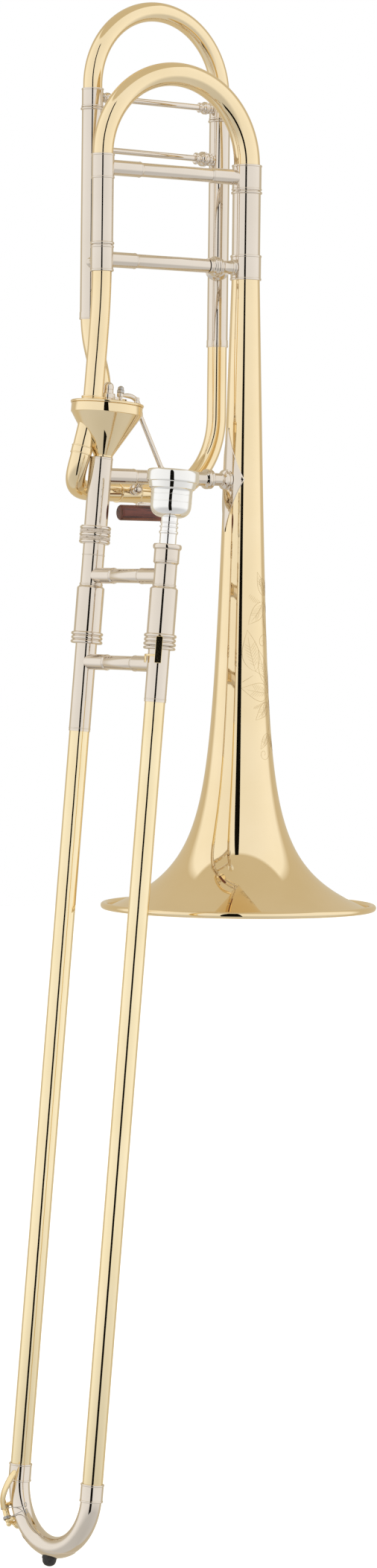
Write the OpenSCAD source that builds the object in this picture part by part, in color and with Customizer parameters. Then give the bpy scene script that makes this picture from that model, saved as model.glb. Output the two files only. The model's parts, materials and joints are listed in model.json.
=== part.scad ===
// Tenor trombone with an axial cone valve F attachment, standing with its bell mouth down.
// Origin: centre of the bell mouth. +Z runs up the bell axis, +X points from the hand slide
// to the bell, and -Y is the mouthpiece side. Sizes in millimetres.

/* [Bell] */
// Outside diameter of the bell mouth over its rolled rim
bell_mouth_d = 216; // [206:0.5:230]
// Height of the bell from its mouth to the top of the stem
bell_h = 501; // [490:1:506]
// Thickness of the bell sheet
bell_wall = 0.55; // [0.4:0.05:1]

/* [Tuning slide] */
// Distance from the neckpipe leg to the bell leg
leg_spacing = 130.5; // [124:0.5:138]
// Height of the foot of the tuning crook
crook_z = 581; // [575:1:600]

/* [F attachment] */
// Distance between the two legs of the F tuning slide
f_spacing = 122; // [118:0.5:126]
// Height of the foot of the F tuning crook
f_crook_z = 638.5; // [630:0.5:650]
// Depth of the left F leg behind the bell plane
f_leg_y = 37.5; // [36:0.5:40]
// Outside diameter of the F tubing
f_tube_d = 15.2; // [14.6:0.1:15.4]

/* [Cone valve] */
// Outside diameter of the valve's lid
valve_d = 56.2; // [55:0.1:58]
// Height of the valve casing below its lid
valve_h = 40; // [39:0.5:41]

/* [Hand slide] */
// Distance between the two slide tubes
slide_spacing = 90; // [86:0.5:94]
// Lean of the hand slide away from the bell axis
slide_tilt = 4.62; // [4.3:0.01:4.9]
// Turn of the hand slide's plane from the bell plane
slide_turn = 83.3; // [80:0.1:87]
// Outside diameter of the outer slide tubes
outer_tube_d = 15.4; // [15.4:0.1:15.6]

/* [Mouthpiece] */
// Outside diameter of the mouthpiece rim
rim_d = 39.4; // [37:0.1:41]

/* [Linkage] */
// Swing of the thumb lever
lever_swing = 12.5; // [10:0.5:13]

/* [Hidden] */
$fn = 72;
eps = 0.02;
fit = 0.05;         // radial running clearance of the slides
seat = 0.03;        // radial gap where one fixed tube sits in another

// Bell profile: a straight taper plus a flare that dies away up the stem
flare_reach = 104;
flare_power = 3.51;
stem_r = 23.24;
stem_taper = 0.0252;
flare_rise = bell_mouth_d / 2 - stem_r - 1;
function bell_r(z) = stem_r - stem_taper * z + flare_rise * pow(flare_reach / (flare_reach + z), flare_power);
bell_split_z = 150;
bead_r = 2.6;
bead_wire_r = 1.7;
bead_x = bell_mouth_d / 2 - bead_r;
bead_z = bead_r;
flare_start_z = 0.35;
flare_top_z = 13;
bowl_top_z = 50;
flare_wall = 1.6 * bell_wall;
tie_x = 100;

// Tuning slide
leg_x = -leg_spacing;
crook_r = leg_spacing / 2;
narrow_r = 7.85;
wide_r = 10.15;
ferrule_z = 562;
leg_foot_z = 511.5;
fixed_ferrule_z = 491.5;
female_r = 8.4;
neck_r = 7.6;
bell_leg_r = 11.05;
brace_r = 5.35;
sleeve_r = 5.95;
tuning_brace_z = 571;
bell_brace_z = 501;

// F attachment
f_turn = 4;
f_left = [-118, f_leg_y];
f_right = f_left + f_spacing * [cos(f_turn), sin(f_turn)];
f_r = f_tube_d / 2;
f_female_r = 8.15;
f_ring_z = 620.7;
f_crook_leg = 3.2;
f_left_foot_z = 457.5;
f_right_foot_z = 442;
f_low_z = 325;
f_bend_r = 62;
f_low_turn = 10.5;
f_low_dir = [-cos(f_low_turn), -sin(f_low_turn), 0];
f_bend_end = concat(f_right, [f_low_z]) + f_bend_r * f_low_dir;
f_joint_at = 22;    // from the end of the bend to the joint ferrule
f_joint_l = 21;

// Hand slide, measured up its own axis from the foot of the bumper
foot = [-197, 0, -488.5];
crook_c = 60;
slide_crook_r = slide_spacing / 2;
slide_crook_tube_r = 7.9;
outer_r = outer_tube_d / 2;
outer_bore_r = 7.35;
stocking_r = outer_bore_r - fit;
inner_r = 7.15;
inner_bore_r = 6.9;
tube_top = 728;
sleeve_foot_lower = 631;
sleeve_foot_upper = 656;
slide_sleeve_r = 8.2;
barrel_foot = 707.3;
ring_foot = 697.9;
barrel_top = 740.5;
barrel_r = 10.5;
ring_r = 12.25;
barrel_bore_r = 8.6;
inner_brace_s = 750.4;
outer_brace_s = 684.4;
lock_turn = -36;    // where the lock's finger rests, just past its catch
receiver_foot = 788.6;
receiver_top = 840.9;
receiver_r = 8.95;
mouth_receiver_top = 774.4;

// Cone valve, in its own frame at its small end
valve_off = 1.5;
valve_s = 841.2;
lid_t = 2.2;
lid_r = valve_d / 2;
casing_r = lid_r - 0.8;
band_z = 33;
neck_port = [-13.9, -1.8];
f_port = [2.3, 13.8];
collar_h = 2.5;
spindle_r = 3.95;
arm_z = 45.2;
arm_t = 2;

// Linkage
lever_x = -74;
lever_axis_z = 336;
barrel_l = 16;
pin_reach = 15;
pin_height = 62;
pin_y = pin_height * sin(lever_swing / 2);
arm_rest = atan2(pin_y, pin_reach);
pin_r = 1.5;
slot_fit = 0.5;
grip_r = 6;
grip_foot_x = -116;
grip_l = 48;
grip_z = 308;
grip_y = -6;

// ---------- Frames ----------

// Hand slide frame: the lower tube on the Z axis, the mouthpiece tube on +X
module on_slide() translate(foot) rotate([0, slide_tilt, 0]) rotate([0, 0, -slide_turn]) children();

// Both slide tubes, the lower one and the mouthpiece one
module both_tubes() { children(); translate([slide_spacing, 0, 0]) children(); }

// Valve frame: origin at the small end of the cone, axis along the hand slide
module on_valve() translate(foot) rotate([0, slide_tilt, 0]) translate([valve_off, 0, valve_s]) children();

// F slide frame: left leg on the Z axis, right leg on +X
module on_f() translate([f_left.x, f_left.y, 0]) rotate([0, 0, f_turn]) children();

// A child drawn up +Z, laid along a direction from a point
module along(from, dir) {
    flat = norm([dir.x, dir.y]);
    translate(from) rotate([0, atan2(flat, dir.z), flat == 0 ? 0 : atan2(dir.y, dir.x)]) children();
}

// ---------- Shapes ----------

module tube(r, bore, h) difference() {
    cylinder(r = r, h = h);
    translate([0, 0, -1]) cylinder(r = bore, h = h + 2);
}

// Rolled bead around a tube
module bead(r, wire_r) rotate_extrude() translate([r, 0]) circle(wire_r, $fn = 24);

// Half ring in the XZ plane, standing on its two ends
module half_ring(ring, r, bore) rotate([90, 0, 0]) rotate_extrude(angle = 180)
    translate([ring, 0]) difference() { circle(r); circle(bore); }

// Ferrule with a turned bead at each end
module ferrule(r, bore, h) difference() {
    union() {
        cylinder(r = r, h = h);
        for (z = [0.9, h - 0.9]) translate([0, 0, z]) bead(r - 0.35, 0.75);
    }
    translate([0, 0, -1]) cylinder(r = bore, h = h + 2);
}

// Tube brace along +X from x = 0 to length l, with a socket sleeve at each end
module tube_brace(l, sleeve_l) rotate([0, 90, 0]) {
    cylinder(r = brace_r, h = l);
    cylinder(r = sleeve_r, h = sleeve_l);
    translate([0, 0, l - sleeve_l]) cylinder(r = sleeve_r, h = sleeve_l);
}

// Turned coupling and neck at a brace's bell end, drawn up +Z
module coupling() rotate_extrude() polygon([
    [0, 0], [6.1, 0], [6.6, 1], [6.6, 2.4], [6, 3.2], [6.4, 4], [7.4, 5], [7.8, 6.4],
    [7.4, 7.8], [6.4, 8.8], [6, 9.6], [6.6, 10.6], [6.6, 11.8], [6, 13], [5, 13.6],
    [4.9, 21], [5.8, 22], [6.4, 23.4], [6.4, 24], [0, 24],
]);

// Turned end of a thin rod brace, drawn up +Z towards its leg
module rod_end(l) rotate_extrude() polygon([
    [0, 0], [3.4, 0], [4, 0.9], [3.4, 2], [3, 3.4], [3.4, 5], [4.6, 6], [5, 7.6], [4.4, 9.2],
    [3.3, 10], [3.3, l], [0, l],
]);

// Points of a cubic curve
function curve(p, t) = pow(1 - t, 3) * p[0] + 3 * pow(1 - t, 2) * t * p[1]
    + 3 * (1 - t) * t * t * p[2] + pow(t, 3) * p[3];
function curve_dir(p, t) = 3 * pow(1 - t, 2) * (p[1] - p[0]) + 6 * (1 - t) * t * (p[2] - p[1])
    + 3 * t * t * (p[3] - p[2]);
function unit(v) = v / norm(v);
function ring_points(c, dir, r, sides) = let (u = unit(cross(dir, [0, 1, 0])), v = unit(cross(u, dir)))
    [for (k = [0:sides - 1]) c + r * (cos(360 * k / sides) * u + sin(360 * k / sides) * v)];

// Faces of a pipe whose outer rings come first and its inner rings after them
function pipe_faces(rings, n) = let (half = rings * n) concat(
    [for (i = [0:rings - 2], k = [0:n - 1])
        [i * n + k, i * n + (k + 1) % n, (i + 1) * n + (k + 1) % n, (i + 1) * n + k]],
    [for (i = [0:rings - 2], k = [0:n - 1])
        [half + i * n + k, half + (i + 1) * n + k, half + (i + 1) * n + (k + 1) % n,
         half + i * n + (k + 1) % n]],
    [for (k = [0:n - 1]) [k, half + k, half + (k + 1) % n, (k + 1) % n]],
    [for (k = [0:n - 1]) let (a = (rings - 1) * n)
        [a + k, a + (k + 1) % n, half + a + (k + 1) % n, half + a + k]]
);

// Pipe swept through ring centres with a direction and radius for each
module pipe(centres, dirs, radii, wall, sides) {
    outer = [for (i = [0:len(centres) - 1]) each ring_points(centres[i], dirs[i], radii[i], sides)];
    inner = [for (i = [0:len(centres) - 1]) each ring_points(centres[i], dirs[i], radii[i] - wall, sides)];
    polyhedron(concat(outer, inner), pipe_faces(len(centres), sides), convexity = 6);
}

// Pipe of one radius along a cubic curve
module curved_tube(p, r, wall, steps, sides = 24) {
    ts = [for (i = [0:steps]) i / steps];
    pipe([for (t = ts) curve(p, t)], [for (t = ts) curve_dir(p, t)], [for (t = ts) r], wall, sides);
}

// Round bar swept through a list of points, square to the path at each, with a radius for each
module bar(points, radii, sides = 16) {
    last = len(points) - 1;
    dirs = [for (i = [0:last]) unit(points[min(i + 1, last)] - points[max(i - 1, 0)])];
    skin = [for (i = [0:last]) each ring_points(points[i], dirs[i], radii[i], sides)];
    faces = concat(
        [for (i = [0:last - 1], k = [0:sides - 1]) [i * sides + k, i * sides + (k + 1) % sides,
            (i + 1) * sides + (k + 1) % sides, (i + 1) * sides + k]],
        [[for (k = [sides - 1:-1:0]) k]],
        [[for (k = [0:sides - 1]) last * sides + k]]);
    polyhedron(skin, faces, convexity = 4);
}

// ---------- Bell ----------

function bell_line(z0, z1, n, grow) = [for (i = [0:n]) let (z = z0 + (z1 - z0) * pow(i / n, grow)) [bell_r(z), z]];

// Ring of bell sheet between two heights, lifted off the bell's surface by out
module bell_shell(z0, z1, n, grow, out, t) {
    line = bell_line(z0, z1, n, grow);
    rotate_extrude($fn = 120) polygon(concat(
        [for (p = line) p + [out, 0]],
        [for (i = [n:-1:0]) line[i] + [out - t, 0]]));
}

module bell_flare() color("khaki") difference() {
    union() {
        bell_shell(flare_start_z, flare_top_z, 10, 1.2, 0, flare_wall);
        translate([0, 0, bead_z]) rotate_extrude($fn = 120) translate([bead_x, 0]) circle(bead_r, $fn = 32);
    }
    translate([0, 0, bead_z]) rotate_extrude($fn = 120)
        translate([bead_x, 0]) circle(bead_wire_r, $fn = 32);
}

module rim_wire() color("silver") translate([0, 0, bead_z]) rotate_extrude($fn = 120)
    translate([bead_x, 0]) circle(bead_wire_r - seat, $fn = 32);

module bell_bowl() color("khaki") bell_shell(flare_top_z, bowl_top_z, 10, 1.2, 0, flare_wall);

module bell_throat() color("khaki") bell_shell(bowl_top_z, bell_split_z, 10, 1.2, 0, flare_wall);

module bell_stem() color("khaki") bell_shell(bell_split_z, bell_h, 16, 1, 0, bell_wall);

// Diamond shaped plate wrapped around the stem where the brace meets it
module bell_flange() color("gainsboro") {
    plate_h = 81;
    half_w = 13.5;
    intersection() {
        bell_shell(lever_axis_z - 44, lever_axis_z + 44, 6, 1, 0.65, 0.6);
        translate([0, 0, lever_axis_z]) rotate([90, 0, -90]) translate([0, 0, 2])
            linear_extrude(30) polygon([[0, plate_h / 2], [half_w, 0], [0, -plate_h / 2], [-half_w, 0]]);
    }
}

module bell_ferrule() color("gainsboro") translate([0, 0, fixed_ferrule_z])
    ferrule(11.85, 11.4, leg_foot_z - fixed_ferrule_z - 0.5);

module bell_leg() color("gainsboro") {
    translate([0, 0, bell_h + eps]) tube(bell_leg_r, 10.45, ferrule_z - 2 - bell_h);
    translate([0, 0, ferrule_z - 2.4]) difference() {
        bead(bell_leg_r + 0.2, 0.9);
        translate([0, 0, -2]) cylinder(r = 10.45, h = 4);
    }
}

module bell_brace() color("gainsboro") difference() {
    translate([leg_x, 0, bell_brace_z]) {
        rotate([0, 90, 0]) cylinder(r = brace_r, h = 96);
        rotate([0, 90, 0]) cylinder(r = sleeve_r, h = 30.5);
        translate([93, 0, 0]) rotate([0, 90, 0]) coupling();
        translate([110, 0, 0]) rotate([0, 90, 0]) cylinder(r = 5, h = 12);
        leg_strut([tie_x, 0], f_right - [leg_x, 0], 4, 9.5);
        leg_strut([0, 0], f_left - [leg_x, 0], 3.2, 7);
    }
    translate([leg_x, 0, 480]) cylinder(r = 8.8, h = 40);
    translate([0, 0, 480]) cylinder(r = 12.3, h = 40);
    for (leg = [f_left, f_right]) translate([leg.x, leg.y, 480]) cylinder(r = f_female_r + seat, h = 40);
}

// Strut between two points in plan, with a round foot where it meets the tube around the second point
module leg_strut(from, to, r, foot_r) {
    reach = norm(to - from);
    along([from.x, from.y, 0], [(to - from).x, (to - from).y, 0]) {
        cylinder(r = r, h = reach);
        translate([0, 0, reach - f_female_r - 1.2]) cylinder(r = foot_r, h = 1.7);
    }
}

module receiver_brace() color("gainsboro") difference() {
    translate([leg_x, 0, lever_axis_z]) rotate([0, 90, 0]) {
        cylinder(r = brace_r, h = 96);
        cylinder(r = sleeve_r, h = 31.5);
        for (side = [-1, 1])
            translate([0, 0, lever_x - leg_x + side * (barrel_l / 2 + 1.3) - 1])
                cylinder(r = 6.4, h = 2);
        translate([0, 0, 91]) coupling();
        translate([0, 0, 110]) cylinder(r = 4.9, h = 14);
    }
    on_slide() translate([0, 0, 780]) cylinder(r = receiver_r + seat, h = 70);
    translate([0, 0, lever_axis_z - 20]) cylinder(r1 = bell_r(lever_axis_z - 20) + 0.75,
        r2 = bell_r(lever_axis_z + 20) + 0.75, h = 40);
}

// ---------- Neckpipe and cone valve ----------

slide_dir = [sin(slide_tilt), 0, cos(slide_tilt)];
function valve_point(x, y, z) = foot + (valve_s + z) * slide_dir
    + (valve_off + x) * [cos(slide_tilt), 0, -sin(slide_tilt)] + [0, y, 0];

module neckpipe() color("khaki") {
    start = valve_point(neck_port.x, neck_port.y, valve_h + lid_t + 0.02);
    top = [leg_x, 0, 497];
    curved_tube([start, start + 36 * slide_dir, top - [0, 0, 36], top], neck_r, 0.6, 14);
}

module neck_ferrule() color("gainsboro") translate([leg_x, 0, fixed_ferrule_z])
    difference() {
        ferrule(8.7, neck_r + 0.3, leg_foot_z - fixed_ferrule_z - 0.3);
        translate([0, 0, 6]) cylinder(r = 7.92, h = 40);
    }

module neck_inner_leg() color("gainsboro") translate([leg_x, 0, 497.6]) tube(7.85, 7.35, 60);

// Cone of the casing's outer face
module cone_body(grow) {
    cylinder(r1 = 7.3 + grow, r2 = casing_r - 0.5 + grow, h = band_z + eps);
    translate([0, 0, band_z]) cylinder(r = casing_r + grow, h = valve_h - band_z);
}

port_out = unit([-0.262, 0.04, -0.964]);
port_start = valve_point(-13.2, 2, 30);

module valve_casing() color("khaki") difference() {
    on_valve() difference() {
        cone_body(0);
        translate([0, 0, 2.5]) cylinder(r1 = 7.0, r2 = casing_r - 1.9, h = band_z - 2.5 + eps);
        translate([0, 0, band_z]) cylinder(r = casing_r - 1.9, h = valve_h);
        translate([0, 0, -1]) cylinder(r = 6, h = 6);
    }
    along(port_start, port_out) cylinder(r = f_r - 1, h = 20);
}

module valve_lid() color("khaki") on_valve() difference() {
    union() {
        translate([0, 0, valve_h + eps]) cylinder(r = lid_r, h = lid_t - eps);
        for (p = [neck_port, f_port]) translate([p.x, p.y, valve_h + lid_t - eps])
            cylinder(r = 9.1, h = collar_h);
    }
    for (p = [neck_port, f_port]) translate([p.x, p.y, valve_h - 1]) cylinder(r = 7.0, h = 10);
    for (p = [neck_port, f_port]) translate([p.x, p.y, valve_h + lid_t - 0.02])
        cylinder(r = neck_r + 0.12, h = 10);
    translate([0, 0, valve_h - 1]) cylinder(r = spindle_r + fit, h = 6);
}

// Two posts that the rotor arm stops against
module valve_stops() color("gainsboro") on_valve() for (side = [-1, 1]) rotate([0, 0, side * (arm_rest + 14)])
    translate([22.5, 0, valve_h + lid_t + eps]) cylinder(r = 1.8, h = 5.4);

module valve_rotor() color("silver") on_valve() difference() {
    rotate_extrude() polygon([[0, 3.6], [6.9, 3.6], [casing_r - 2.3, band_z],
        [casing_r - 2.3, valve_h - 0.4], [0, valve_h - 0.4]]);
    for (p = [neck_port, f_port]) translate([p.x, p.y, 0]) cylinder(r = 4.6, h = 60);
}

module rotor_spindle() color("gainsboro") on_valve() {
    translate([0, 0, valve_h - 0.4]) cylinder(r = spindle_r, h = 14.4);
    translate([0, 0, valve_h + 14]) intersection() {
        sphere(spindle_r);
        cylinder(r = 5, h = 5);
    }
}

module rotor_arm() color("gainsboro") on_valve() rotate([0, 0, arm_rest]) difference() {
    union() {
        translate([0, 0, arm_z]) cylinder(r = 5.6, h = 4);
        translate([0, -3, arm_z]) cube([20.5, 6, arm_t]);
        translate([20.5, 0, arm_z]) cylinder(r = 3, h = arm_t);
    }
    translate([0, 0, arm_z - 1]) cylinder(r = spindle_r + 0.01, h = 8);
    translate([pin_reach - 0.4, 0, arm_z - 1]) cylinder(r = pin_r + slot_fit, h = 4);
    translate([pin_reach + 2.2, 0, arm_z - 1]) cylinder(r = pin_r + slot_fit, h = 4);
    translate([pin_reach - 0.4, -pin_r - slot_fit, arm_z - 1]) cube([2.6, 2 * (pin_r + slot_fit), 4]);
}

// ---------- Thumb lever ----------

module lever_frame() color("gainsboro") difference() {
    union() {
        translate([lever_x - barrel_l / 2, 0, lever_axis_z]) rotate([0, 90, 0])
            cylinder(r = 7, h = barrel_l);
        translate([lever_x - 5, -4.4, grip_z + 6.5]) cube([10, 2.2, lever_axis_z - grip_z - 10]);
        translate([lever_x - 26, grip_y - 1.2, grip_z + grip_r - 0.25]) cube([31, 5, 2]);
    }
    translate([lever_x - barrel_l, 0, lever_axis_z]) rotate([0, 90, 0])
        cylinder(r = brace_r + 0.08, h = 2 * barrel_l);
    translate([-150, grip_y, grip_z]) rotate([0, 90, 0]) cylinder(r = grip_r + 0.05, h = 90);
}

pin_top = valve_point(pin_reach, pin_y, arm_z + arm_t + 2.6);
link_bend = [-90.6, 6.1, 382];
arch = [link_bend, [-92.2, 6.5, 396.5], [-96, pin_y, pin_top.z + 0.6], pin_top];
link_points = concat([[lever_x + 1, 2.5, lever_axis_z + 5.5]], [for (i = [0:12]) curve(arch, i / 12)]);
link_radii = concat([for (i = [0:11]) 1.9], [1.35, 1.15]);

module lever_link() color("gainsboro") difference() {
    union() {
        bar(link_points, link_radii);
        along(pin_top - 1.2 * slide_dir, slide_dir) cylinder(r = 2.6, h = 2.6);
        along(pin_top - 6 * slide_dir, slide_dir) cylinder(r = pin_r, h = 7);
    }
    translate([lever_x - barrel_l, 0, lever_axis_z]) rotate([0, 90, 0]) cylinder(r = 7, h = 2 * barrel_l);
}

// Six sided nut with a ball top that holds the link on its pin
module link_nut() color("silver") along(pin_top + 1.65 * slide_dir, slide_dir) {
    cylinder(r = 3.2, h = 2.4, $fn = 6);
    translate([0, 0, 3.2]) sphere(2.4, $fn = 32);
}

module thumb_grip() color("saddlebrown") translate([grip_foot_x, grip_y, grip_z]) rotate([0, 90, 0])
    rotate_extrude() polygon([[0, 0], [grip_r - 1, 0], [grip_r - 0.3, 0.3], [grip_r, 1],
        [grip_r, grip_l - 1], [grip_r - 0.3, grip_l - 0.3], [grip_r - 1, grip_l], [0, grip_l]]);

// ---------- F attachment ----------

module f_outlet_tube() color("khaki") {
    start = valve_point(f_port.x, f_port.y, valve_h + lid_t + 0.02);
    top = [f_left.x, f_left.y, f_left_foot_z + 5.5];
    curved_tube([start, start + 30 * slide_dir, top - [0, 0, 34], top], neck_r, 0.6, 14);
}

module f_female_leg(z0, collar) {
    translate([0, 0, z0]) tube(f_female_r, neck_r + 0.05, f_ring_z - z0 - 0.9);
    translate([0, 0, f_ring_z - 1]) difference() {
        bead(f_female_r + 0.2, 0.85);
        translate([0, 0, -2]) cylinder(r = neck_r + 0.05, h = 4);
    }
    translate([0, 0, z0]) tube(f_female_r + 0.4, neck_r + 0.05, collar);
}

module f_outer_legs() color("gainsboro") on_f() {
    difference() {
        f_female_leg(f_left_foot_z, 7);
        translate([0, 0, f_left_foot_z - 1]) cylinder(r = neck_r + 0.4, h = 7.5);
    }
    translate([f_spacing, 0, 0]) f_female_leg(f_right_foot_z, 7);
}

// Thin rod between two legs, with a turned end at each side
module rod_brace(z, leg_r) difference() {
    translate([0, 0, z]) rotate([0, 90, 0]) {
        cylinder(r = 2.35, h = f_spacing, $fn = 32);
        translate([0, 0, f_spacing - 23]) rod_end(22);
        translate([0, 0, 23]) rotate([180, 0, 0]) rod_end(22);
    }
    for (x = [0, f_spacing]) translate([x, 0, z - 20]) cylinder(r = leg_r, h = 40);
}

module f_leg_brace() color("gainsboro") on_f() rod_brace(589, f_female_r + seat);

module f_slide_brace() color("gainsboro") on_f() rod_brace(629, 8.35 + seat);

module f_bend() color("khaki") translate([f_right.x, f_right.y, 0]) rotate([0, 0, f_low_turn]) {
    translate([0, 0, f_low_z + f_bend_r]) tube(f_r, f_r - 0.6, f_right_foot_z + 7 - f_low_z - f_bend_r);
    translate([-f_bend_r, 0, f_low_z + f_bend_r]) rotate([90, 0, 0]) rotate_extrude(angle = -90)
        translate([f_bend_r, 0]) difference() { circle(f_r); circle(f_r - 0.6); }
    translate([-f_bend_r, 0, f_low_z]) rotate([0, -90, 0]) tube(f_r, f_r - 0.6, f_joint_at + 10);
}

module f_joint_ferrules() color("khaki") {
    along(f_bend_end + f_joint_at * f_low_dir, f_low_dir) ferrule(f_r + 0.6, f_r + seat, f_joint_l);
    difference() {
        along(port_foot + 3 * port_out, -port_out) tube(f_r + 0.75, f_r + 0.3, 6);
        on_valve() cone_body(0.3);
    }
}

elbow_start = f_bend_end + (f_joint_at + 10.1) * f_low_dir;
elbow_turn = f_bend_end + 70 * f_low_dir;
port_foot = port_start + 27 * port_out;

module f_return_elbow() color("khaki") {
    path = [elbow_turn, elbow_turn + 22 * f_low_dir, port_foot + 18 * port_out, port_foot];
    steps = 18;
    centres = concat([elbow_start], [for (i = [0:steps]) curve(path, i / steps)]);
    dirs = concat([f_low_dir], [for (i = [0:steps]) curve_dir(path, i / steps)]);
    pipe(centres, dirs, [for (c = centres) f_r], 0.6, 32);
}

module f_port_tube() color("khaki") difference() {
    along(port_foot - 0.05 * port_out, -port_out) tube(f_r, f_r - 0.6, 40);
    on_valve() cone_body(0.01);
    on_valve() translate([0, 0, valve_h - 1]) cylinder(r = 40, h = 40);
    on_valve() translate([0, -40, 0]) cube([40, 80, 60]);
}

post_ball = [-92, 9.5, 327];

// Ball and stems that tie the low F tube to the receiver brace
module f_post() color("gainsboro") {
    tube_end = f_bend_end + (f_joint_at + 8) * f_low_dir;
    brace_end = [post_ball.x, 0, lever_axis_z];
    difference() {
        union() {
            along(brace_end, post_ball - brace_end) cylinder(r = 2.4, h = norm(post_ball - brace_end));
            along(post_ball, tube_end - post_ball) cylinder(r = 3, h = norm(tube_end - post_ball));
            along(post_ball, tube_end - post_ball) translate([0, 0, 3.4]) cylinder(r = 4.6, h = 1.6);
            translate(post_ball) sphere(4.6);
        }
        translate([-120, 0, lever_axis_z]) rotate([0, 90, 0]) cylinder(r = brace_r + eps, h = 60);
        along(f_bend_end, f_low_dir) cylinder(r = f_r + 1.1, h = 60);
    }
}

// ---------- Slides that pull out ----------

module tuning_crook() color("khaki") {
    steps = 30;
    angles = [for (i = [0:steps]) 180 - 180 * i / steps];
    pipe([for (a = angles) [leg_x / 2 + crook_r * cos(a), 0, crook_z + crook_r * sin(a)]],
        [for (a = angles) [sin(a), 0, -cos(a)]],
        [for (i = [0:steps]) narrow_r + (wide_r - narrow_r) * i / steps], 0.6, 32);
}

module tuning_ferrules() color("gainsboro") {
    translate([leg_x, 0, ferrule_z]) difference() {
        ferrule(8.7, 7.3, crook_z - ferrule_z - 0.05);
        translate([0, 0, -1]) cylinder(r = female_r + seat, h = 9);
    }
    translate([0, 0, ferrule_z - 0.8]) difference() {
        ferrule(11.45, 9.6, crook_z - ferrule_z + 0.75);
        translate([0, 0, -1]) cylinder(r = 10.45, h = 14);
    }
}

module tuning_outer_leg() color("gainsboro") translate([leg_x, 0, 0]) {
    translate([0, 0, leg_foot_z + 0.3]) tube(female_r, 7.9, ferrule_z + 7.5 - leg_foot_z);
    translate([0, 0, leg_foot_z + 1.3]) difference() {
        bead(female_r + 0.1, 0.85);
        translate([0, 0, -2]) cylinder(r = 7.9, h = 4);
    }
}

module tuning_inner_leg() color("gainsboro") translate([0, 0, 512]) tube(10.4, 9.9, ferrule_z - 500);

module tuning_brace() color("gainsboro") difference() {
    translate([leg_x, 0, tuning_brace_z]) tube_brace(leg_spacing, 34);
    translate([leg_x, 0, 540]) cylinder(r = 8.75, h = 60);
    translate([0, 0, 540]) cylinder(r = 11.5, h = 60);
}

module f_crook() color("khaki") on_f() {
    translate([f_spacing / 2, 0, f_crook_z]) half_ring(f_spacing / 2, f_r - 0.2, f_r - 0.8);
    for (x = [0, f_spacing]) translate([x, 0, f_crook_z - f_crook_leg])
        tube(f_r - 0.2, f_r - 0.8, f_crook_leg);
}

module f_crook_ferrules() color("gainsboro") on_f() for (x = [0, f_spacing])
    translate([x, 0, f_ring_z]) difference() {
        ferrule(8.35, f_r - 0.8, f_crook_z - f_crook_leg - f_ring_z - 0.05);
        translate([0, 0, -1]) cylinder(r = neck_r + seat, h = 11);
    }

module f_inner_legs() color("gainsboro") on_f() for (x = [0, f_spacing])
    translate([x, 0, f_ring_z - 70]) tube(neck_r, neck_r - 0.5, 79);

// ---------- Inner hand slide ----------

module slide_receiver() color("gainsboro") on_slide() difference() {
    translate([0, 0, receiver_foot]) cylinder(r = receiver_r, h = receiver_top - receiver_foot);
    translate([0, 0, receiver_foot - 1]) cylinder(r1 = 8, r2 = 7, h = 34);
    translate([0, 0, receiver_foot]) cylinder(r = 6.2, h = 80);
}

module slide_tenon() color("gainsboro") on_slide() difference() {
    union() {
        translate([0, 0, 744.6]) cylinder(r = 8.45, h = 29.8);
        translate([0, 0, 766]) bead(8.3, 0.5);
        translate([0, 0, 774]) cylinder(r1 = 7.8, r2 = 7.05, h = 46);
    }
    translate([0, 0, 740]) cylinder(r = inner_r + seat, h = 27);
    translate([0, 0, 740]) cylinder(r = 6.4, h = 90);
}

module inner_tubes() color("silver") on_slide() {
    translate([0, 0, 75]) tube(inner_r, inner_bore_r, 691.5);
    translate([slide_spacing, 0, 75]) tube(inner_r, inner_bore_r, 681);
}

module stockings() color("silver") on_slide() both_tubes() translate([0, 0, 75])
    tube(stocking_r, inner_r + 0.01, 135);

module cork_barrels() color("gainsboro") on_slide() both_tubes() difference() {
    union() {
        translate([0, 0, barrel_foot]) cylinder(r = barrel_r, h = barrel_top - barrel_foot);
        translate([0, 0, barrel_top]) cylinder(r1 = barrel_r, r2 = 8.6, h = 2.6);
        translate([0, 0, barrel_top]) cylinder(r = 8.6, h = 4);
        translate([0, 0, ring_foot]) cylinder(r = ring_r - 1, h = barrel_foot - ring_foot);
        for (z = [1.3, 4.7, 8.1]) translate([0, 0, ring_foot + z]) bead(ring_r - 1.3, 1.3);
    }
    translate([0, 0, ring_foot - 5]) cylinder(r = barrel_bore_r, h = 736 - ring_foot + 5);
    translate([0, 0, ring_foot]) cylinder(r = inner_r + seat, h = 60);
}

module barrel_corks() color("tan") on_slide() both_tubes() translate([0, 0, tube_top + 0.6])
    tube(barrel_bore_r - 0.1, inner_r + 0.1, 6.8);

module inner_brace() color("gainsboro") on_slide() difference() {
    translate([0, 0, inner_brace_s]) tube_brace(slide_spacing, 29);
    translate([0, 0, 700]) cylinder(r = 8.45 + seat, h = 80);
    translate([slide_spacing, 0, 700]) cylinder(r = 8.45 + seat, h = 80);
}

module mouthpiece_receiver() color("gainsboro") on_slide() translate([slide_spacing, 0, 0]) difference() {
    union() {
        translate([0, 0, 744.6]) cylinder(r = 8.45, h = 17);
        translate([0, 0, 760.4]) cylinder(r = 9.6, h = 10);
        translate([0, 0, 770]) cylinder(r = 10.2, h = mouth_receiver_top - 770);
        translate([0, 0, 772]) bead(9.6, 1);
    }
    translate([0, 0, 740]) cylinder(r = inner_r + seat, h = 16.2);
    translate([0, 0, 740]) cylinder(r = 5.9, h = 40);
    translate([0, 0, 748]) cylinder(r1 = 5.6, r2 = 6.5, h = 26.5);
}

module leadpipe() color("khaki") on_slide() translate([slide_spacing, 0, 560])
    tube(inner_bore_r - 0.02, 6.3, 182);

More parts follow.
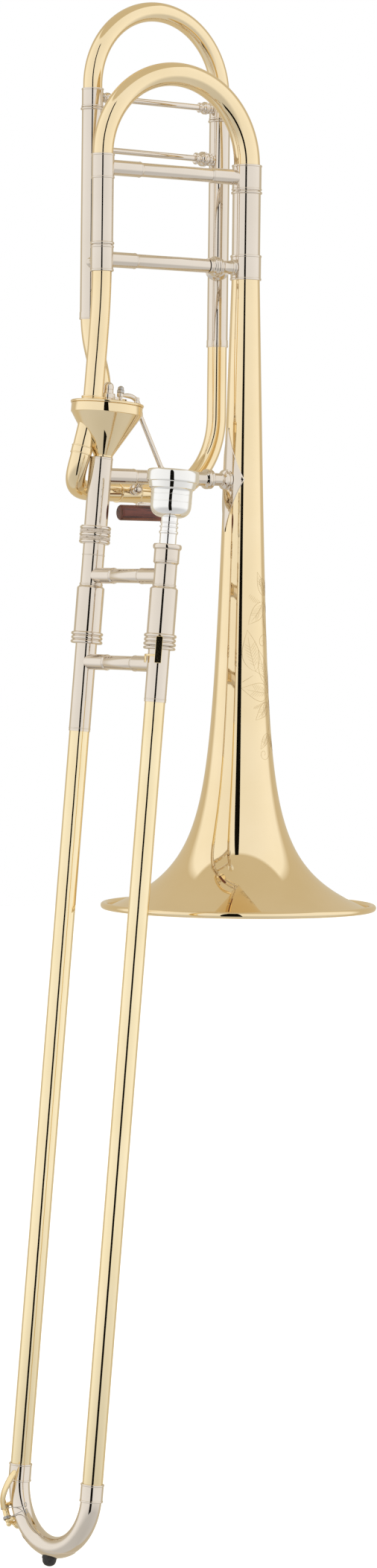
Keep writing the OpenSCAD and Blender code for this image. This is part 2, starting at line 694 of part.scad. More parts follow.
module lock_nut() color("gainsboro") on_slide() translate([0, 0, 774.6]) difference() {
    union() {
        cylinder(r = 10.9, h = 13.8);
        for (z = [1.6, 6.9, 12.2]) translate([0, 0, z]) bead(10.7, 1.25);
        translate([0, 0, 2.6]) cylinder(r = 11.6, h = 3.2);
        translate([0, 0, 8]) cylinder(r = 11.6, h = 3.2);
    }
    translate([0, 0, -1]) cylinder(r = 8.1, h = 16);
}

// ---------- Slide lock ----------

module slide_lock() color("khaki") on_slide() translate([slide_spacing, 0, 0]) {
    difference() {
        translate([0, 0, ring_foot - 2.6]) cylinder(r = 12.2, h = 2.2);
        translate([0, 0, ring_foot - 3]) cylinder(r = slide_sleeve_r + 0.6, h = 3);
    }
    rotate([0, 0, lock_turn]) {
        translate([12.6, -2.6, ring_foot - 13]) cube([1.3, 5.2, 20]);
        translate([11.4, -2.6, ring_foot - 2.6]) cube([1.8, 5.2, 2.2]);
        translate([9.4, -2.6, ring_foot - 13]) cube([3.4, 5.2, 1.4]);
    }
}

// ---------- Mouthpiece ----------

module mouthpiece() color("white") on_slide() translate([slide_spacing, 0, 0]) {
    r = rim_d / 2;
    rotate_extrude() polygon(concat(
        [[6.35, 774.6], [6.5, 782], [7.3, 783], [7.3, 784.4], [6.4, 785.2], [6.4, 787],
         [7.2, 788], [6.3, 789.2], [7, 790.4], [6.3, 791.6], [6.6, 793]],
        [for (a = [0:15:90]) [6.9 + 8.4 * sin(a), 802.4 - 8.6 * cos(a)]],
        [[15.3, 817], [17, 818.6], [r - 1.6, 819.6], [r - 0.4, 820.4], [r, 822]],
        [for (a = [0:22.5:90]) [r - 2.2 + 2.2 * cos(a), 827 + 3 * sin(a)]],
        [for (a = [0:22.5:90]) [14.6 - 1.8 * sin(a), 828.2 + 1.8 * cos(a)]],
        [[12.4, 822]],
        [for (a = [15:15:75]) [3.6 + 8.8 * cos(a), 822 - 17 * sin(a)]],
        [[3.4, 803], [3.4, 797], [5.2, 752], [5.55, 750.4], [6.3, 773.4]]));
}

// ---------- Outer hand slide ----------

module outer_tubes() color("khaki") on_slide() both_tubes() translate([0, 0, crook_c + 0.6])
    tube(outer_r, outer_bore_r, tube_top - crook_c - 0.6);

module outer_sleeves() color("gainsboro") on_slide() {
    translate([0, 0, sleeve_foot_lower]) tube(slide_sleeve_r, outer_r + 0.01, tube_top - sleeve_foot_lower);
    translate([slide_spacing, 0, sleeve_foot_upper])
        tube(slide_sleeve_r, outer_r + 0.01, tube_top - sleeve_foot_upper);
}

// Brace with the catch bar for the slide lock
module outer_brace() color("gainsboro") on_slide() {
    difference() {
        translate([0, 0, outer_brace_s]) tube_brace(slide_spacing, 29);
        both_tubes() translate([0, 0, 640]) cylinder(r = slide_sleeve_r + seat, h = 80);
    }
    translate([slide_spacing, 0, outer_brace_s + 5.4]) rotate([0, 0, 243]) rotate_extrude(angle = 64)
        translate([slide_sleeve_r + seat, 0]) square([2.6, 1.6]);
}

module slide_crook() color("gainsboro") on_slide() {
    translate([slide_spacing / 2, 0, crook_c]) mirror([0, 0, 1])
        half_ring(slide_crook_r, slide_crook_tube_r, 7.1);
    both_tubes() translate([0, 0, 56.8]) difference() {
        ferrule(8.6, outer_r + 0.01, 13.6);
        translate([0, 0, -1]) cylinder(r = slide_crook_tube_r - 0.01, h = 4.2);
    }
}

// Thin plate under the bend that takes knocks
module crook_guard() color("gainsboro") on_slide() translate([slide_spacing / 2, 0, crook_c])
    rotate([90, 0, 0]) rotate([0, 0, 228]) rotate_extrude(angle = 78)
        translate([slide_crook_r, 0]) intersection() {
            difference() { circle(8.6); circle(7.93); }
            translate([2, -10]) square([20, 20]);
        }

module bumper() color("dimgray") on_slide() difference() {
    translate([slide_spacing / 2, 0, 0]) rotate_extrude() polygon([[0, 0], [3.4, 0],
        [4.6, 0.6], [5.3, 1.9], [5.6, 4], [5.6, 12], [0, 12]]);
    translate([slide_spacing / 2, 0, crook_c]) rotate([90, 0, 0]) rotate_extrude()
        translate([slide_crook_r, 0]) circle(8.63);
}

// ---------- Water key ----------

key_angle = 30;
key_dir = [sin(key_angle), 0, -cos(key_angle)];
key_side = [-cos(key_angle), 0, -sin(key_angle)];
crook_mid = [slide_spacing / 2, 0, crook_c];
key_axis = crook_mid + (slide_crook_r + 11.4) * key_side + [0, -7.2, 0];
nipple_side = [-cos(40), 0, -sin(40)];

// Saddle posts, pivot screw with ball heads, and the drain nipple
module key_saddle() color("khaki") on_slide() {
    difference() {
        for (side = [-1, 1]) {
            post = key_axis + side * 6.2 * key_dir;
            root = crook_mid + slide_crook_r * unit(post + [0, 7.2, 0] - crook_mid);
            along(root, post - root) cylinder(r = 1.5, h = norm(post - root), $fn = 24);
            translate(post) sphere(2.2, $fn = 32);
        }
        translate(crook_mid) rotate([90, 0, 0]) rotate_extrude()
            translate([slide_crook_r, 0]) circle(slide_crook_tube_r + eps);
        along(key_axis - 4.9 * key_dir, key_dir) cylinder(r = 4, h = 9.8);
    }
    along(key_axis - 5.4 * key_dir, key_dir) cylinder(r = 1, h = 10.8, $fn = 24);
    for (side = [-1, 1]) translate(key_axis + side * 8.9 * key_dir) sphere(2, $fn = 32);
    difference() {
        along(crook_mid + slide_crook_r * nipple_side, nipple_side) cylinder(r = 3.4, h = 10.4);
        translate(crook_mid) rotate([90, 0, 0]) rotate_extrude()
            translate([slide_crook_r, 0]) circle(slide_crook_tube_r + eps);
    }
}

module water_key() color("khaki") on_slide() {
    tip = [8, -13.8, 66];
    mid = [0, -14, 50];
    cork = crook_mid + (slide_crook_r + 13.2) * nipple_side;
    difference() {
        union() {
            along(key_axis - 4.5 * key_dir, key_dir) cylinder(r = 2.6, h = 9, $fn = 32);
            hull() {
                translate(key_axis + [0, -1.6, 2]) sphere(1.4, $fn = 16);
                translate(key_axis + [-0.2, -2.7, 3]) sphere(1.4, $fn = 16);
                translate(mid) sphere(1.6, $fn = 16);
            }
            hull() {
                translate(mid) sphere(1.6, $fn = 16);
                translate(mid + [1.8, 0, 0]) sphere(1.4, $fn = 16);
                translate(tip) sphere(1.3, $fn = 16);
            }
            hull() {
                translate(key_axis + [-1.2, 1.4, -2]) sphere(1.1, $fn = 16);
                translate(cork) sphere(1.3, $fn = 16);
            }
            along(cork - 2.4 * nipple_side, nipple_side) cylinder(r = 3.5, h = 2.4);
        }
        along(key_axis - 8 * key_dir, key_dir) cylinder(r = 1.05, h = 16, $fn = 24);
    }
}

// ---------- Nodes ----------

bell_flare();
rim_wire();
bell_bowl();
bell_throat();
bell_stem();
bell_flange();
bell_ferrule();
bell_leg();
bell_brace();
receiver_brace();
neckpipe();
neck_ferrule();
neck_inner_leg();
valve_casing();
valve_lid();
valve_stops();
f_outlet_tube();
f_outer_legs();
f_leg_brace();
f_bend();
f_joint_ferrules();
f_return_elbow();
f_port_tube();
f_post();
slide_receiver();
slide_tenon();
inner_tubes();
stockings();
cork_barrels();
barrel_corks();
inner_brace();
mouthpiece_receiver();
leadpipe();
lock_nut();
slide_lock();
mouthpiece();
valve_rotor();
rotor_spindle();
rotor_arm();
lever_frame();
lever_link();
link_nut();
thumb_grip();
tuning_crook();
tuning_ferrules();
tuning_outer_leg();
tuning_inner_leg();
tuning_brace();
f_crook();
f_crook_ferrules();
f_inner_legs();
f_slide_brace();
outer_tubes();
outer_sleeves();
outer_brace();
slide_crook();
crook_guard();
bumper();
key_saddle();
water_key();
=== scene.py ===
"""Visual model of a tenor trombone with a cone valve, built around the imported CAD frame."""

import json
import math
from math import cos, pi, radians, sin

import bmesh  # noqa: E402
import bpy  # noqa: E402
from mathutils import Matrix, Vector  # noqa: E402


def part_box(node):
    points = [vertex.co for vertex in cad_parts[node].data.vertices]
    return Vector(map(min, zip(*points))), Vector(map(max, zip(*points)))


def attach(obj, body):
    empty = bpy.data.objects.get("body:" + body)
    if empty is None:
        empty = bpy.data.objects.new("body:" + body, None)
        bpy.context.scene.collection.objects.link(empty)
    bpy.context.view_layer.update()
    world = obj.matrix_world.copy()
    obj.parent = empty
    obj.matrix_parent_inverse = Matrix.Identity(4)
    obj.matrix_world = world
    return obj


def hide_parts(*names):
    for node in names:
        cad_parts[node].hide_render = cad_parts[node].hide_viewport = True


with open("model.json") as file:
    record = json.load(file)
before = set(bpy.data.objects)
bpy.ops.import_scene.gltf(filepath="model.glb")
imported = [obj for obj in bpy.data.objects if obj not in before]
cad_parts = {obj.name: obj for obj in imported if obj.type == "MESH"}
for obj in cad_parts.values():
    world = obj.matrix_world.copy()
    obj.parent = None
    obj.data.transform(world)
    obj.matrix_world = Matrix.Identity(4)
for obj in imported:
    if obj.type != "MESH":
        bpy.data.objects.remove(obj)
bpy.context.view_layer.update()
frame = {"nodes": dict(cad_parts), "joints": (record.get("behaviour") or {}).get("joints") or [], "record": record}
joints = {j["name"]: j for j in frame["joints"]}

MM = 0.001
WORLD = Matrix.Identity(4)
UP = Vector((0, 0, 1))


# ---------- Places in the frame, in millimetres ----------


def axes(origin, z, x):
    """Frame at origin with its Z axis along z and its X axis nearest to x."""
    z, x = Vector(z).normalized(), Vector(x)
    x = (x - z * x.dot(z)).normalized()
    m = Matrix((x, z.cross(x), z)).transposed().to_4x4()
    m.translation = Vector(origin)
    return m


def across(start, way):
    """Frame for a piece that runs from start along way."""
    return axes(start, way, (0, 0, 1) if abs(Vector(way).z) < 0.9 else (1, 0, 0))


def shifted(at, x=0, y=0, z=0):
    return at @ Matrix.Translation((x, y, z))


def upright(at, out):
    """Frame for a plate that stands at a distance out on a frame's X axis and faces outward."""
    return at @ Matrix(((0, 0, 1, out), (1, 0, 0, 0), (0, 1, 0, 0), (0, 0, 0, 1)))


def pivot(joint):
    return Vector(joints[joint]["pos_m"]) / MM


def box(node):
    """Lowest and highest corners of a CAD node."""
    return [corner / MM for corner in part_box(node)]


def points(node, at=WORLD):
    """A CAD node's points in the axes of a frame."""
    back = at.inverted()
    return [back @ (v.co / MM) for v in frame["nodes"][node].data.vertices]


def centre(places):
    """Middle of the box round some points."""
    return Vector([(min(p[k] for p in places) + max(p[k] for p in places)) / 2 for k in range(3)])


def mean(places):
    return sum(places, Vector()) / len(places)


def measure(node, at, near=30):
    """Lowest z, highest z and largest radius of the node's points near the Z axis of a frame."""
    local = [p for p in points(node, at) if p.xy.length < near]
    return min(p.z for p in local), max(p.z for p in local), max(p.xy.length for p in local)


def heading(node, at, beyond):
    """Angle about a frame's Z axis of the part of a node that lies beyond a radius."""
    far = mean([p for p in points(node, at) if p.xy.length > beyond])
    return math.atan2(far.y, far.x)


def solids(node):
    """The two solids of a node as lists of points, the one with the lower middle along X first."""
    places = sorted(points(node), key=lambda p: p.x)
    gaps = [b.x - a.x for a, b in zip(places, places[1:])]
    cut = gaps.index(max(gaps)) + 1
    return places[:cut], places[cut:]


def slide_frames():
    """Frames on the lower and the mouthpiece slide tube, with z = 0 at the foot of the bumper."""
    low, high = pivot("lock_nut_turn"), pivot("slide_lock_turn")
    way = Vector(joints["lock_nut_turn"]["axis"]).normalized()
    foot = min(p.dot(way) for p in points("bumper"))
    lower = axes(low + way * (foot - low.dot(way)), way, high - low)
    return lower, shifted(lower, x=(lower.inverted() @ high).x)


LOWER, UPPER = slide_frames()
SPACING = (LOWER.inverted() @ UPPER.translation).x
VALVE = axes(pivot("valve_turn"), joints["valve_turn"]["axis"], (1, 0, 0))
VALVE_WAY = VALVE.col[2].to_3d()
NECK = Vector((centre(box("neck_ferrule")).x, 0, 0))
AT_NECK = Matrix.Translation(NECK)
F_LEFT, F_RIGHT = (centre(part).xy.to_3d() for part in solids("f_outer_legs"))
AT_F_LEFT, AT_F_RIGHT = (axes(leg, UP, F_RIGHT - F_LEFT) for leg in (F_LEFT, F_RIGHT))


# ---------- Materials ----------


def feed(tree, node, inputs):
    """Sets a node's inputs to values, or links them to other nodes' outputs."""
    for name, value in inputs.items():
        if isinstance(value, bpy.types.NodeSocket):
            tree.links.new(value, node.inputs[name])
        else:
            node.inputs[name].default_value = value


def add(tree, kind, out, inputs, **settings):
    """Adds a shader node and gives the output named."""
    node = tree.nodes.new("ShaderNode" + kind)
    for name, value in settings.items():
        setattr(node, name, value)
    feed(tree, node, inputs)
    return node.outputs[out]


def ramp(tree, source, stops):
    colour = add(tree, "ValToRGB", "Color", {"Fac": source})
    elements = colour.node.color_ramp.elements
    while len(elements) < len(stops):
        elements.new(0.5)
    for element, (at, tone) in zip(elements, stops):
        element.position = at
        element.color = (*tone, 1)
    return colour


def noise(tree, scale, detail, stretch=(1, 1, 1)):
    coord = add(tree, "TexCoord", "Object", {})
    place = add(tree, "Mapping", "Vector", {"Vector": coord, "Scale": stretch})
    return add(tree, "TexNoise", "Fac", {"Vector": place, "Scale": scale, "Detail": detail})


def spread(tree, source, low, high):
    """Maps the middle of a noise's range to low and high."""
    values = {"Value": source, "From Min": 0.3, "From Max": 0.7, "To Min": low, "To Max": high}
    return add(tree, "MapRange", "Result", values)


def bump(tree, source, height, strength):
    return add(tree, "Bump", "Normal", {"Height": source, "Distance": height, "Strength": strength})


def new_material(name):
    material = bpy.data.materials.new(name)
    material.use_nodes = True
    return material, material.node_tree


def dress(material, inputs):
    tree = material.node_tree
    feed(tree, tree.nodes["Principled BSDF"], inputs)
    return material


def metal(name, colour, tint, rough, grain=0.0):
    """Polished metal: a slow drift in tone, fine polishing haze and, with grain, brushed lines."""
    material, tree = new_material(name)
    haze = noise(tree, 420, 6, (1, 1, 0.25))
    if grain:
        dress(material, {"Normal": bump(tree, noise(tree, 900, 2, (1, 1, 0.05)), 0.00002, grain)})
    return dress(material, {"Metallic": 1, "Roughness": spread(tree, haze, rough * 0.8, rough * 1.3),
                            "Base Color": ramp(tree, noise(tree, 22, 4), [(0.35, colour), (0.7, tint)])})


def wood(name, light, dark, rough):
    """Oiled wood with long dark streaks and fine pores."""
    material, tree = new_material(name)
    grain = noise(tree, 260, 8, (0.1, 1, 1))
    pores = noise(tree, 1800, 4, (0.1, 1, 1))
    return dress(material, {"Base Color": ramp(tree, grain, [(0.3, dark), (0.52, light), (0.62, dark)]),
                            "Roughness": rough, "Coat Weight": 0.25, "Coat Roughness": 0.2,
                            "Normal": bump(tree, pores, 0.0001, 0.3)})


def matt(name, light, dark, rough, scale):
    """Matt speckled material."""
    material, tree = new_material(name)
    speckle = noise(tree, scale, 8)
    return dress(material, {"Base Color": ramp(tree, speckle, [(0.35, dark), (0.65, light)]),
                            "Roughness": rough, "Normal": bump(tree, speckle, 0.0002, 0.4)})


LOOKS = {
    "yellow_brass": metal("yellow_brass", (0.925, 0.765, 0.50), (0.895, 0.73, 0.455), 0.022),
    "lacquered_brass": metal("lacquered_brass", (0.92, 0.75, 0.45), (0.88, 0.70, 0.39), 0.09),
    "nickel_silver": metal("nickel_silver", (0.785, 0.71, 0.62), (0.755, 0.68, 0.585), 0.03),
    "silver_plate": metal("silver_plate", (0.95, 0.94, 0.92), (0.91, 0.90, 0.87), 0.03),
    "chrome_plate": metal("chrome_plate", (0.80, 0.81, 0.83), (0.76, 0.77, 0.79), 0.03),
    "steel": metal("steel", (0.55, 0.53, 0.50), (0.47, 0.45, 0.43), 0.16, 0.1),
    "rotor_alloy": metal("rotor_alloy", (0.75, 0.75, 0.76), (0.68, 0.68, 0.70), 0.3, 0.3),
    "rubber": matt("rubber", (0.030, 0.028, 0.026), (0.012, 0.011, 0.010), 0.6, 900),
    "cork": matt("cork", (0.55, 0.38, 0.21), (0.30, 0.18, 0.09), 0.85, 500),
    "rosewood": wood("rosewood", (0.16, 0.035, 0.018), (0.05, 0.012, 0.008), 0.35),
}
ENGRAVED = metal("engraved_brass", (0.74, 0.59, 0.34), (0.66, 0.51, 0.28), 0.3)
# Brighter copy of yellow_brass for the outer slide tubes: a lit copy of the same brass, so its lighter colour is
# painted highlight for the brighter light those tubes catch.
SLIDE_TUBE_BRASS_PAINTED_HIGHLIGHT = metal("slide_tube_brass_painted_highlight", (0.955, 0.815, 0.535), (0.925, 0.78, 0.49), 0.022)


# ---------- Outlines: lists of (x, y) or (r, z) points ----------


def arc(cx, cy, rx, ry, start, end, steps):
    """Arc of an ellipse between two angles in degrees."""
    turns = [radians(start + (end - start) * k / steps) for k in range(steps + 1)]
    return [(cx + rx * cos(a), cy + ry * sin(a)) for a in turns]


def bulge(z, r, half, high, steps=8):
    """Round bead on an outer wall, from low to high."""
    return [(r + high * sin(pi * k / steps), z - half * cos(pi * k / steps)) for k in range(steps + 1)]


def soften(profile, size=0.2):
    """Cuts each corner of a closed outline back and rounds it a little."""
    out = []
    for i, corner in enumerate(profile):
        b = Vector(corner)
        to_a, to_c = Vector(profile[i - 1]) - b, Vector(profile[(i + 1) % len(profile)]) - b
        short = min(to_a.length, to_c.length)
        if b.x < 1e-6 or short < 1e-6 or abs(to_a.angle(to_c) - pi) < 0.35:
            out.append(corner)
            continue
        cut = min(size, 0.4 * short)
        p, q = b + to_a.normalized() * cut, b + to_c.normalized() * cut
        out += [tuple(p), tuple((p + 2 * b + q) / 4), tuple(q)]
    return out


def rounded_box(x, y, corner):
    """Rectangle from (x0, x1) and (y0, y1) with round corners, anticlockwise."""
    left, right, low, high = x[0] + corner, x[1] - corner, y[0] + corner, y[1] - corner
    out = []
    for cx, cy, start in ((right, high, 0), (left, high, 90), (left, low, 180), (right, low, 270)):
        out += arc(cx, cy, corner, corner, start, start + 90, 5)
    return out


# ---------- Shapes: points in millimetres, and faces ----------


def skin(rings, joined):
    """Faces between closed rings of points. The last ring is joined to the first, or both ends are capped."""
    sides, count = len(rings[0]), len(rings)
    faces = []
    for i in range(count if joined else count - 1):
        a, b = i * sides, (i + 1) % count * sides
        faces += [(a + k, a + (k + 1) % sides, b + (k + 1) % sides, b + k) for k in range(sides)]
    if not joined:
        faces += [tuple(range(sides)), tuple(range((count - 1) * sides, count * sides))]
    return [p for ring in rings for p in ring], faces


def lathe(profile, at=WORLD, sides=96, wave=None):
    """Closed outline turned about the frame's Z axis. wave(z, angle) adds to the radius."""
    rings = []
    for r, z in profile:
        ring = []
        for k in range(sides):
            a = 2 * pi * k / sides
            reach = r + wave(z, a) if wave else r
            ring.append(at @ Vector((reach * cos(a), reach * sin(a), z)))
        rings.append(ring)
    return skin(rings, True)


def tube(at, r, bore, z0, z1, edge=0.2, sides=96):
    return lathe(soften([(bore, z0), (r, z0), (r, z1), (bore, z1)], edge), at, sides)


def rod(at, r, z0, z1, edge=0.2, sides=48):
    return lathe(soften([(0, z0), (r, z0), (r, z1), (0, z1)], edge), at, sides)


def ball(at, r):
    return lathe(arc(0, 0, r, r, -90, 90, 16), at, 32)


def beaded(at, r, bore, z0, z1, bead=0.75, rise=0.35):
    """Ferrule with a turned bead at each end."""
    wall = bulge(z0 + bead, r, bead, rise) + bulge(z1 - bead, r, bead, rise)
    return lathe([(bore, z0)] + wall + [(bore, z1)], at)


def curved(p, steps):
    """Points and directions along the cubic curve of four points."""
    path = []
    for k in range(steps + 1):
        t = k / steps
        u = 1 - t
        place = u**3 * p[0] + 3 * u * u * t * p[1] + 3 * u * t * t * p[2] + t**3 * p[3]
        way = u * u * (p[1] - p[0]) + 2 * u * t * (p[2] - p[1]) + t * t * (p[3] - p[2])
        path.append((place, way.normalized()))
    return path


def sweep(path, radii, wall=0.0, sides=48):
    """Tube, or solid bar where wall is 0, along (point, direction) pairs."""
    side = path[0][1].orthogonal().normalized()
    outer, inner = [], []
    for (place, way), r in zip(path, radii):
        side = (side - way * side.dot(way)).normalized()
        rim = [cos(a) * side + sin(a) * way.cross(side) for a in (2 * pi * k / sides for k in range(sides))]
        outer.append([place + r * out for out in rim])
        inner.append([place + (r - wall) * out for out in rim])
    return skin(outer + inner[::-1], True) if wall else skin(outer, False)


def pipe(path):
    """Tube of the valve section's bore along a path."""
    return sweep(path, [PIPE_R] * len(path), 0.6, 64)


def bar(places, r, sides):
    """Bar through a list of points, with rounded ends. r is one radius or a list with one for each point."""
    last = len(places) - 1
    path = []
    for i, p in enumerate(places):
        path.append((p, (places[min(i + 1, last)] - places[max(i - 1, 0)]).normalized()))
    radii = list(r) if isinstance(r, list) else [r] * len(path)
    caps = []
    for (place, way), end_r, sign in ((path[0], radii[0], -1), (path[-1], radii[-1], 1)):
        turns = [radians(x) for x in (25, 50, 72)]
        caps.append([((place + way * sign * end_r * sin(a), way), end_r * cos(a)) for a in turns])
    rings = caps[0][::-1] + list(zip(path, radii)) + caps[1]
    return sweep([ring[0] for ring in rings], [ring[1] for ring in rings], sides=sides)


def plate(outline, thick, at, edge=0.25):
    """Flat plate with bevelled edges, from z = 0 to thick."""
    inner = []
    for i in range(len(outline)):
        a, b, c = (Vector(outline[(i + k - 1) % len(outline)]) for k in range(3))
        n = Vector((b.y - a.y, a.x - b.x)).normalized() + Vector((c.y - b.y, b.x - c.x)).normalized()
        inner.append(b - n * (edge * 2 / max(n.length_squared, 0.4)))
    layers = ((inner, 0), (outline, edge), (outline, thick - edge), (inner, thick))
    return skin([[at @ Vector((p[0], p[1], z)) for p in ring] for ring, z in layers], False)


def shell(rows, cols, place, lifts):
    """Thin closed sheet. place(v, u, lift) gives a point for v along the rows, u from -1 to 1 across."""
    wide = [-1 + 2 * k / cols for k in range(cols + 1)]
    low, high = lifts
    return skin([[place(i / rows, u, low) for u in wide] + [place(i / rows, u, high) for u in wide[::-1]]
                 for i in range(rows + 1)], False)


def piece(name, body, look, shapes, *nodes, material=None):
    """One object from several shapes. It rides on a body and stands for the CAD nodes named."""
    verts, faces = [], []
    for places, loops in shapes:
        base = len(verts)
        verts += [p * MM for p in places]
        faces += [tuple(base + i for i in face) for face in loops]
    mesh = bpy.data.meshes.new(name)
    mesh.from_pydata(verts, [], faces)
    work = bmesh.new()
    work.from_mesh(mesh)
    bmesh.ops.remove_doubles(work, verts=work.verts, dist=1e-7)
    bmesh.ops.recalc_face_normals(work, faces=work.faces)
    work.to_mesh(mesh)
    work.free()
    mesh.shade_smooth()
    mesh.set_sharp_from_angle(angle=radians(38))
    mesh.materials.append(material or LOOKS[look])
    obj = bpy.data.objects.new(name, mesh)
    bpy.context.scene.collection.objects.link(obj)
    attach(obj, body)
    if nodes:
        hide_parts(*nodes)


# ---------- Bell ----------

BELL_TOP = box("bell_stem")[1].z
BELL_R = box("bell_flare")[1].x
BELL_WALL, RIM_R = 0.75, 2.6
STEM_R, STEM_TAPER = 23.24, 0.0252
FLARE_REACH, FLARE_POWER = 104, 3.51


def bell_r(z):
    """Outer radius of the bell at a height above its mouth."""
    rise = BELL_R - STEM_R - 1
    return STEM_R - STEM_TAPER * z + rise * (FLARE_REACH / (FLARE_REACH + z)) ** FLARE_POWER


def build_bell():
    heights = [0.9 + (BELL_TOP - 0.9) * (k / 150) ** 1.9 for k in range(151)]
    outer = [(bell_r(z), z) for z in heights]
    inner = [(r - BELL_WALL, z) for r, z in reversed(outer)]
    rim = arc(BELL_R - RIM_R, RIM_R, RIM_R, RIM_R, 0, 360, 32)[:-1]
    parts = [lathe(outer + inner, sides=256), lathe(rim, sides=256)]
    piece("bell_body", "bell_section", "yellow_brass", parts,
          "bell_flare", "bell_bowl", "bell_throat", "bell_stem")


def build_bell_flange():
    """Diamond plate wrapped round the stem where the brace lands on it."""
    low, high = box("bell_flange")
    middle, half_h = (low.z + high.z) / 2, (high.z - low.z) / 2

    def place(v, u, lift):
        v = 2 * v - 1
        y = u * high.y * max(1 - abs(v), 0.02)
        z = middle + half_h * v
        return Vector((-math.sqrt((bell_r(z) + lift) ** 2 - y * y), y, z))

    sheet = shell(60, 24, place, (0.05, 0.65))
    piece("bell_flange_plate", "bell_section", "nickel_silver", [sheet], "bell_flange")


def build_bell_tube():
    z0, z1, r = measure("bell_ferrule", WORLD)
    piece("bell_ferrule_ring", "bell_section", "nickel_silver",
          [beaded(WORLD, r - 0.4, r - 1.4, z0, z1, 0.9, 0.4)], "bell_ferrule")
    z0, z1, r = measure("bell_leg", WORLD)
    wall = [(r - 1.1, z0)] + bulge(z1 - 1.1, r - 1.1, 1.1, 1.1, 12)
    piece("bell_leg_tube", "bell_section", "nickel_silver",
          [lathe([(r - 1.7, z0)] + wall + [(r - 1.7, z1)])], "bell_leg")


# ---------- Engraving ----------


def polar(angle, size=1.0):
    return Vector((size * cos(angle), size * sin(angle)))


def on_bell(angle, z, lift):
    """Point at a height over the bell's outside, at an angle about its axis."""
    r = bell_r(z) + lift
    return Vector((r * cos(angle), r * sin(angle), z))


def ribbon(path, width, lift):
    """Thin flat line along (angle, z) points on the bell, narrowing to both ends."""
    rings = []
    last = len(path) - 1
    for i, (angle, z) in enumerate(path):
        place = on_bell(angle, z, lift)
        ahead, behind = on_bell(*path[min(i + 1, last)], lift), on_bell(*path[max(i - 1, 0)], lift)
        out = polar(angle).to_3d()
        half = (ahead - behind).normalized().cross(out).normalized() * width / 2
        half *= 0.25 + 0.75 * sin(pi * min(max(i / last, 0.03), 0.97)) ** 0.6
        rings.append([place - half, place + half, place - out * 0.1])
    return skin(rings, False)


class Pen:
    """Draws engraved lines on the bell in flat millimetres, u around and z up, about a middle angle."""

    def __init__(self, angle):
        self.angle = angle
        self.lines = []

    def line(self, places, width=0.4):
        self.lines.append(ribbon([(self.angle + u / bell_r(z), z) for u, z in places], width, 0.045))

    def stroke(self, a, b):
        self.line([a.lerp(b, t / 4) for t in range(5)], 0.28)

    def bow(self, a, b, share):
        """Line from a to b that bows sideways by a share of its length."""
        a, b = Vector(a), Vector(b)
        side = Vector((b.y - a.y, a.x - b.x)) * share
        self.line([a.lerp(b, t / 18) + side * sin(pi * t / 18) for t in range(19)], 0.5)

    def leaf(self, base, turn, length, fat, veins=7):
        """Leaf from its base along a direction in degrees, with a midrib and shaded veins."""
        base, way = Vector(base), polar(radians(turn))
        side, tip = Vector((-way.y, way.x)), base + way * length
        for sign in (-1, 1):
            edge = []
            for t in (k / 24 for k in range(25)):
                swell = sin(pi * t**0.8) * (1 - 0.25 * t) * (1 + 0.1 * sign)
                edge.append(base.lerp(tip, t) + side * sign * fat * length * swell)
            self.line(edge, 0.45)
        self.line([base.lerp(tip, t / 12) + side * 0.03 * length * sin(pi * t / 12) for t in range(11)])
        for t in (0.14 + 0.5 * k / veins for k in range(veins)):
            root = base.lerp(tip, t)
            reach = fat * length * sin(pi * t**0.8) * 0.62
            for sign in (-1, 1):
                self.stroke(root, root + side * sign * reach + way * reach * 0.9)

    def curl(self, start, turn, size, flip):
        """Tendril that winds into itself."""
        places, place, angle = [], Vector(start), radians(turn)
        for t in (k / 33 for k in range(34)):
            places.append(place)
            place = place + polar(angle, size * 0.14 * (1 - 0.6 * t))
            angle += flip * 1.6 * (0.06 + 0.2 * t)
        self.line(places)

    def hatch(self, a, b, turn, count=8, length=4.5):
        """Row of short parallel strokes between two points."""
        for k in range(count):
            root = Vector(a).lerp(Vector(b), k / (count - 1))
            grow = 0.5 + 0.5 * sin(pi * (k + 0.5) / count)
            self.stroke(root, root + polar(radians(turn), length * grow))


# Each leaf's place round the bell, height, direction in degrees, length, and width as a share of it.
LEAVES = [
    (21, 246, 114, 20, 0.20), (20, 241, 230, 23, 0.27), (23, 246, 58, 17, 0.24), (24, 240, -35, 15, 0.24),
    (12, 187, 103, 33, 0.25), (27, 176, 114, 31, 0.20), (28, 170, 172, 28, 0.28), (27, 163, 224, 20, 0.26),
    (31, 172, 62, 24, 0.24), (32, 165, -40, 21, 0.26), (26, 139, 236, 15, 0.24), (28, 138, -52, 17, 0.25),
]
# Stems as start, end and bow; tendrils as start, direction, size and turn; shading as start, end and slant.
STEMS = [((22, 244), (29, 214), 0.16), ((29, 214), (29, 170), -0.12), ((29, 170), (12, 187), 0.14),
         ((29, 168), (27, 139), -0.12)]
TENDRILS = [((28, 214), 150, 9, 1), ((27, 152), 160, 8, -1), ((24, 250), 80, 8, 1), ((30, 200), 30, 9, -1),
            ((29, 128), -90, 9, -1)]
SHADING = [((7, 247), (16, 242), 232), ((3, 180), (10, 184), 215), ((12, 160), (22, 164), 236),
           ((22, 232), (24, 222), 205)]


def build_engraving():
    """Generic leaf sprays on the side of the bell that faces away from the slide."""
    pen = Pen(radians(-123))
    for u, z, turn, length, fat in LEAVES:
        pen.leaf((u, z), turn, length, fat)
    for start, end, share in STEMS:
        pen.bow(start, end, share)
    for start, turn, size, flip in TENDRILS:
        pen.curl(start, turn, size, flip)
    for start, end, turn in SHADING:
        pen.hatch(start, end, turn)
    piece("bell_engraving", "bell_section", "yellow_brass", pen.lines, material=ENGRAVED)


# ---------- Braces ----------

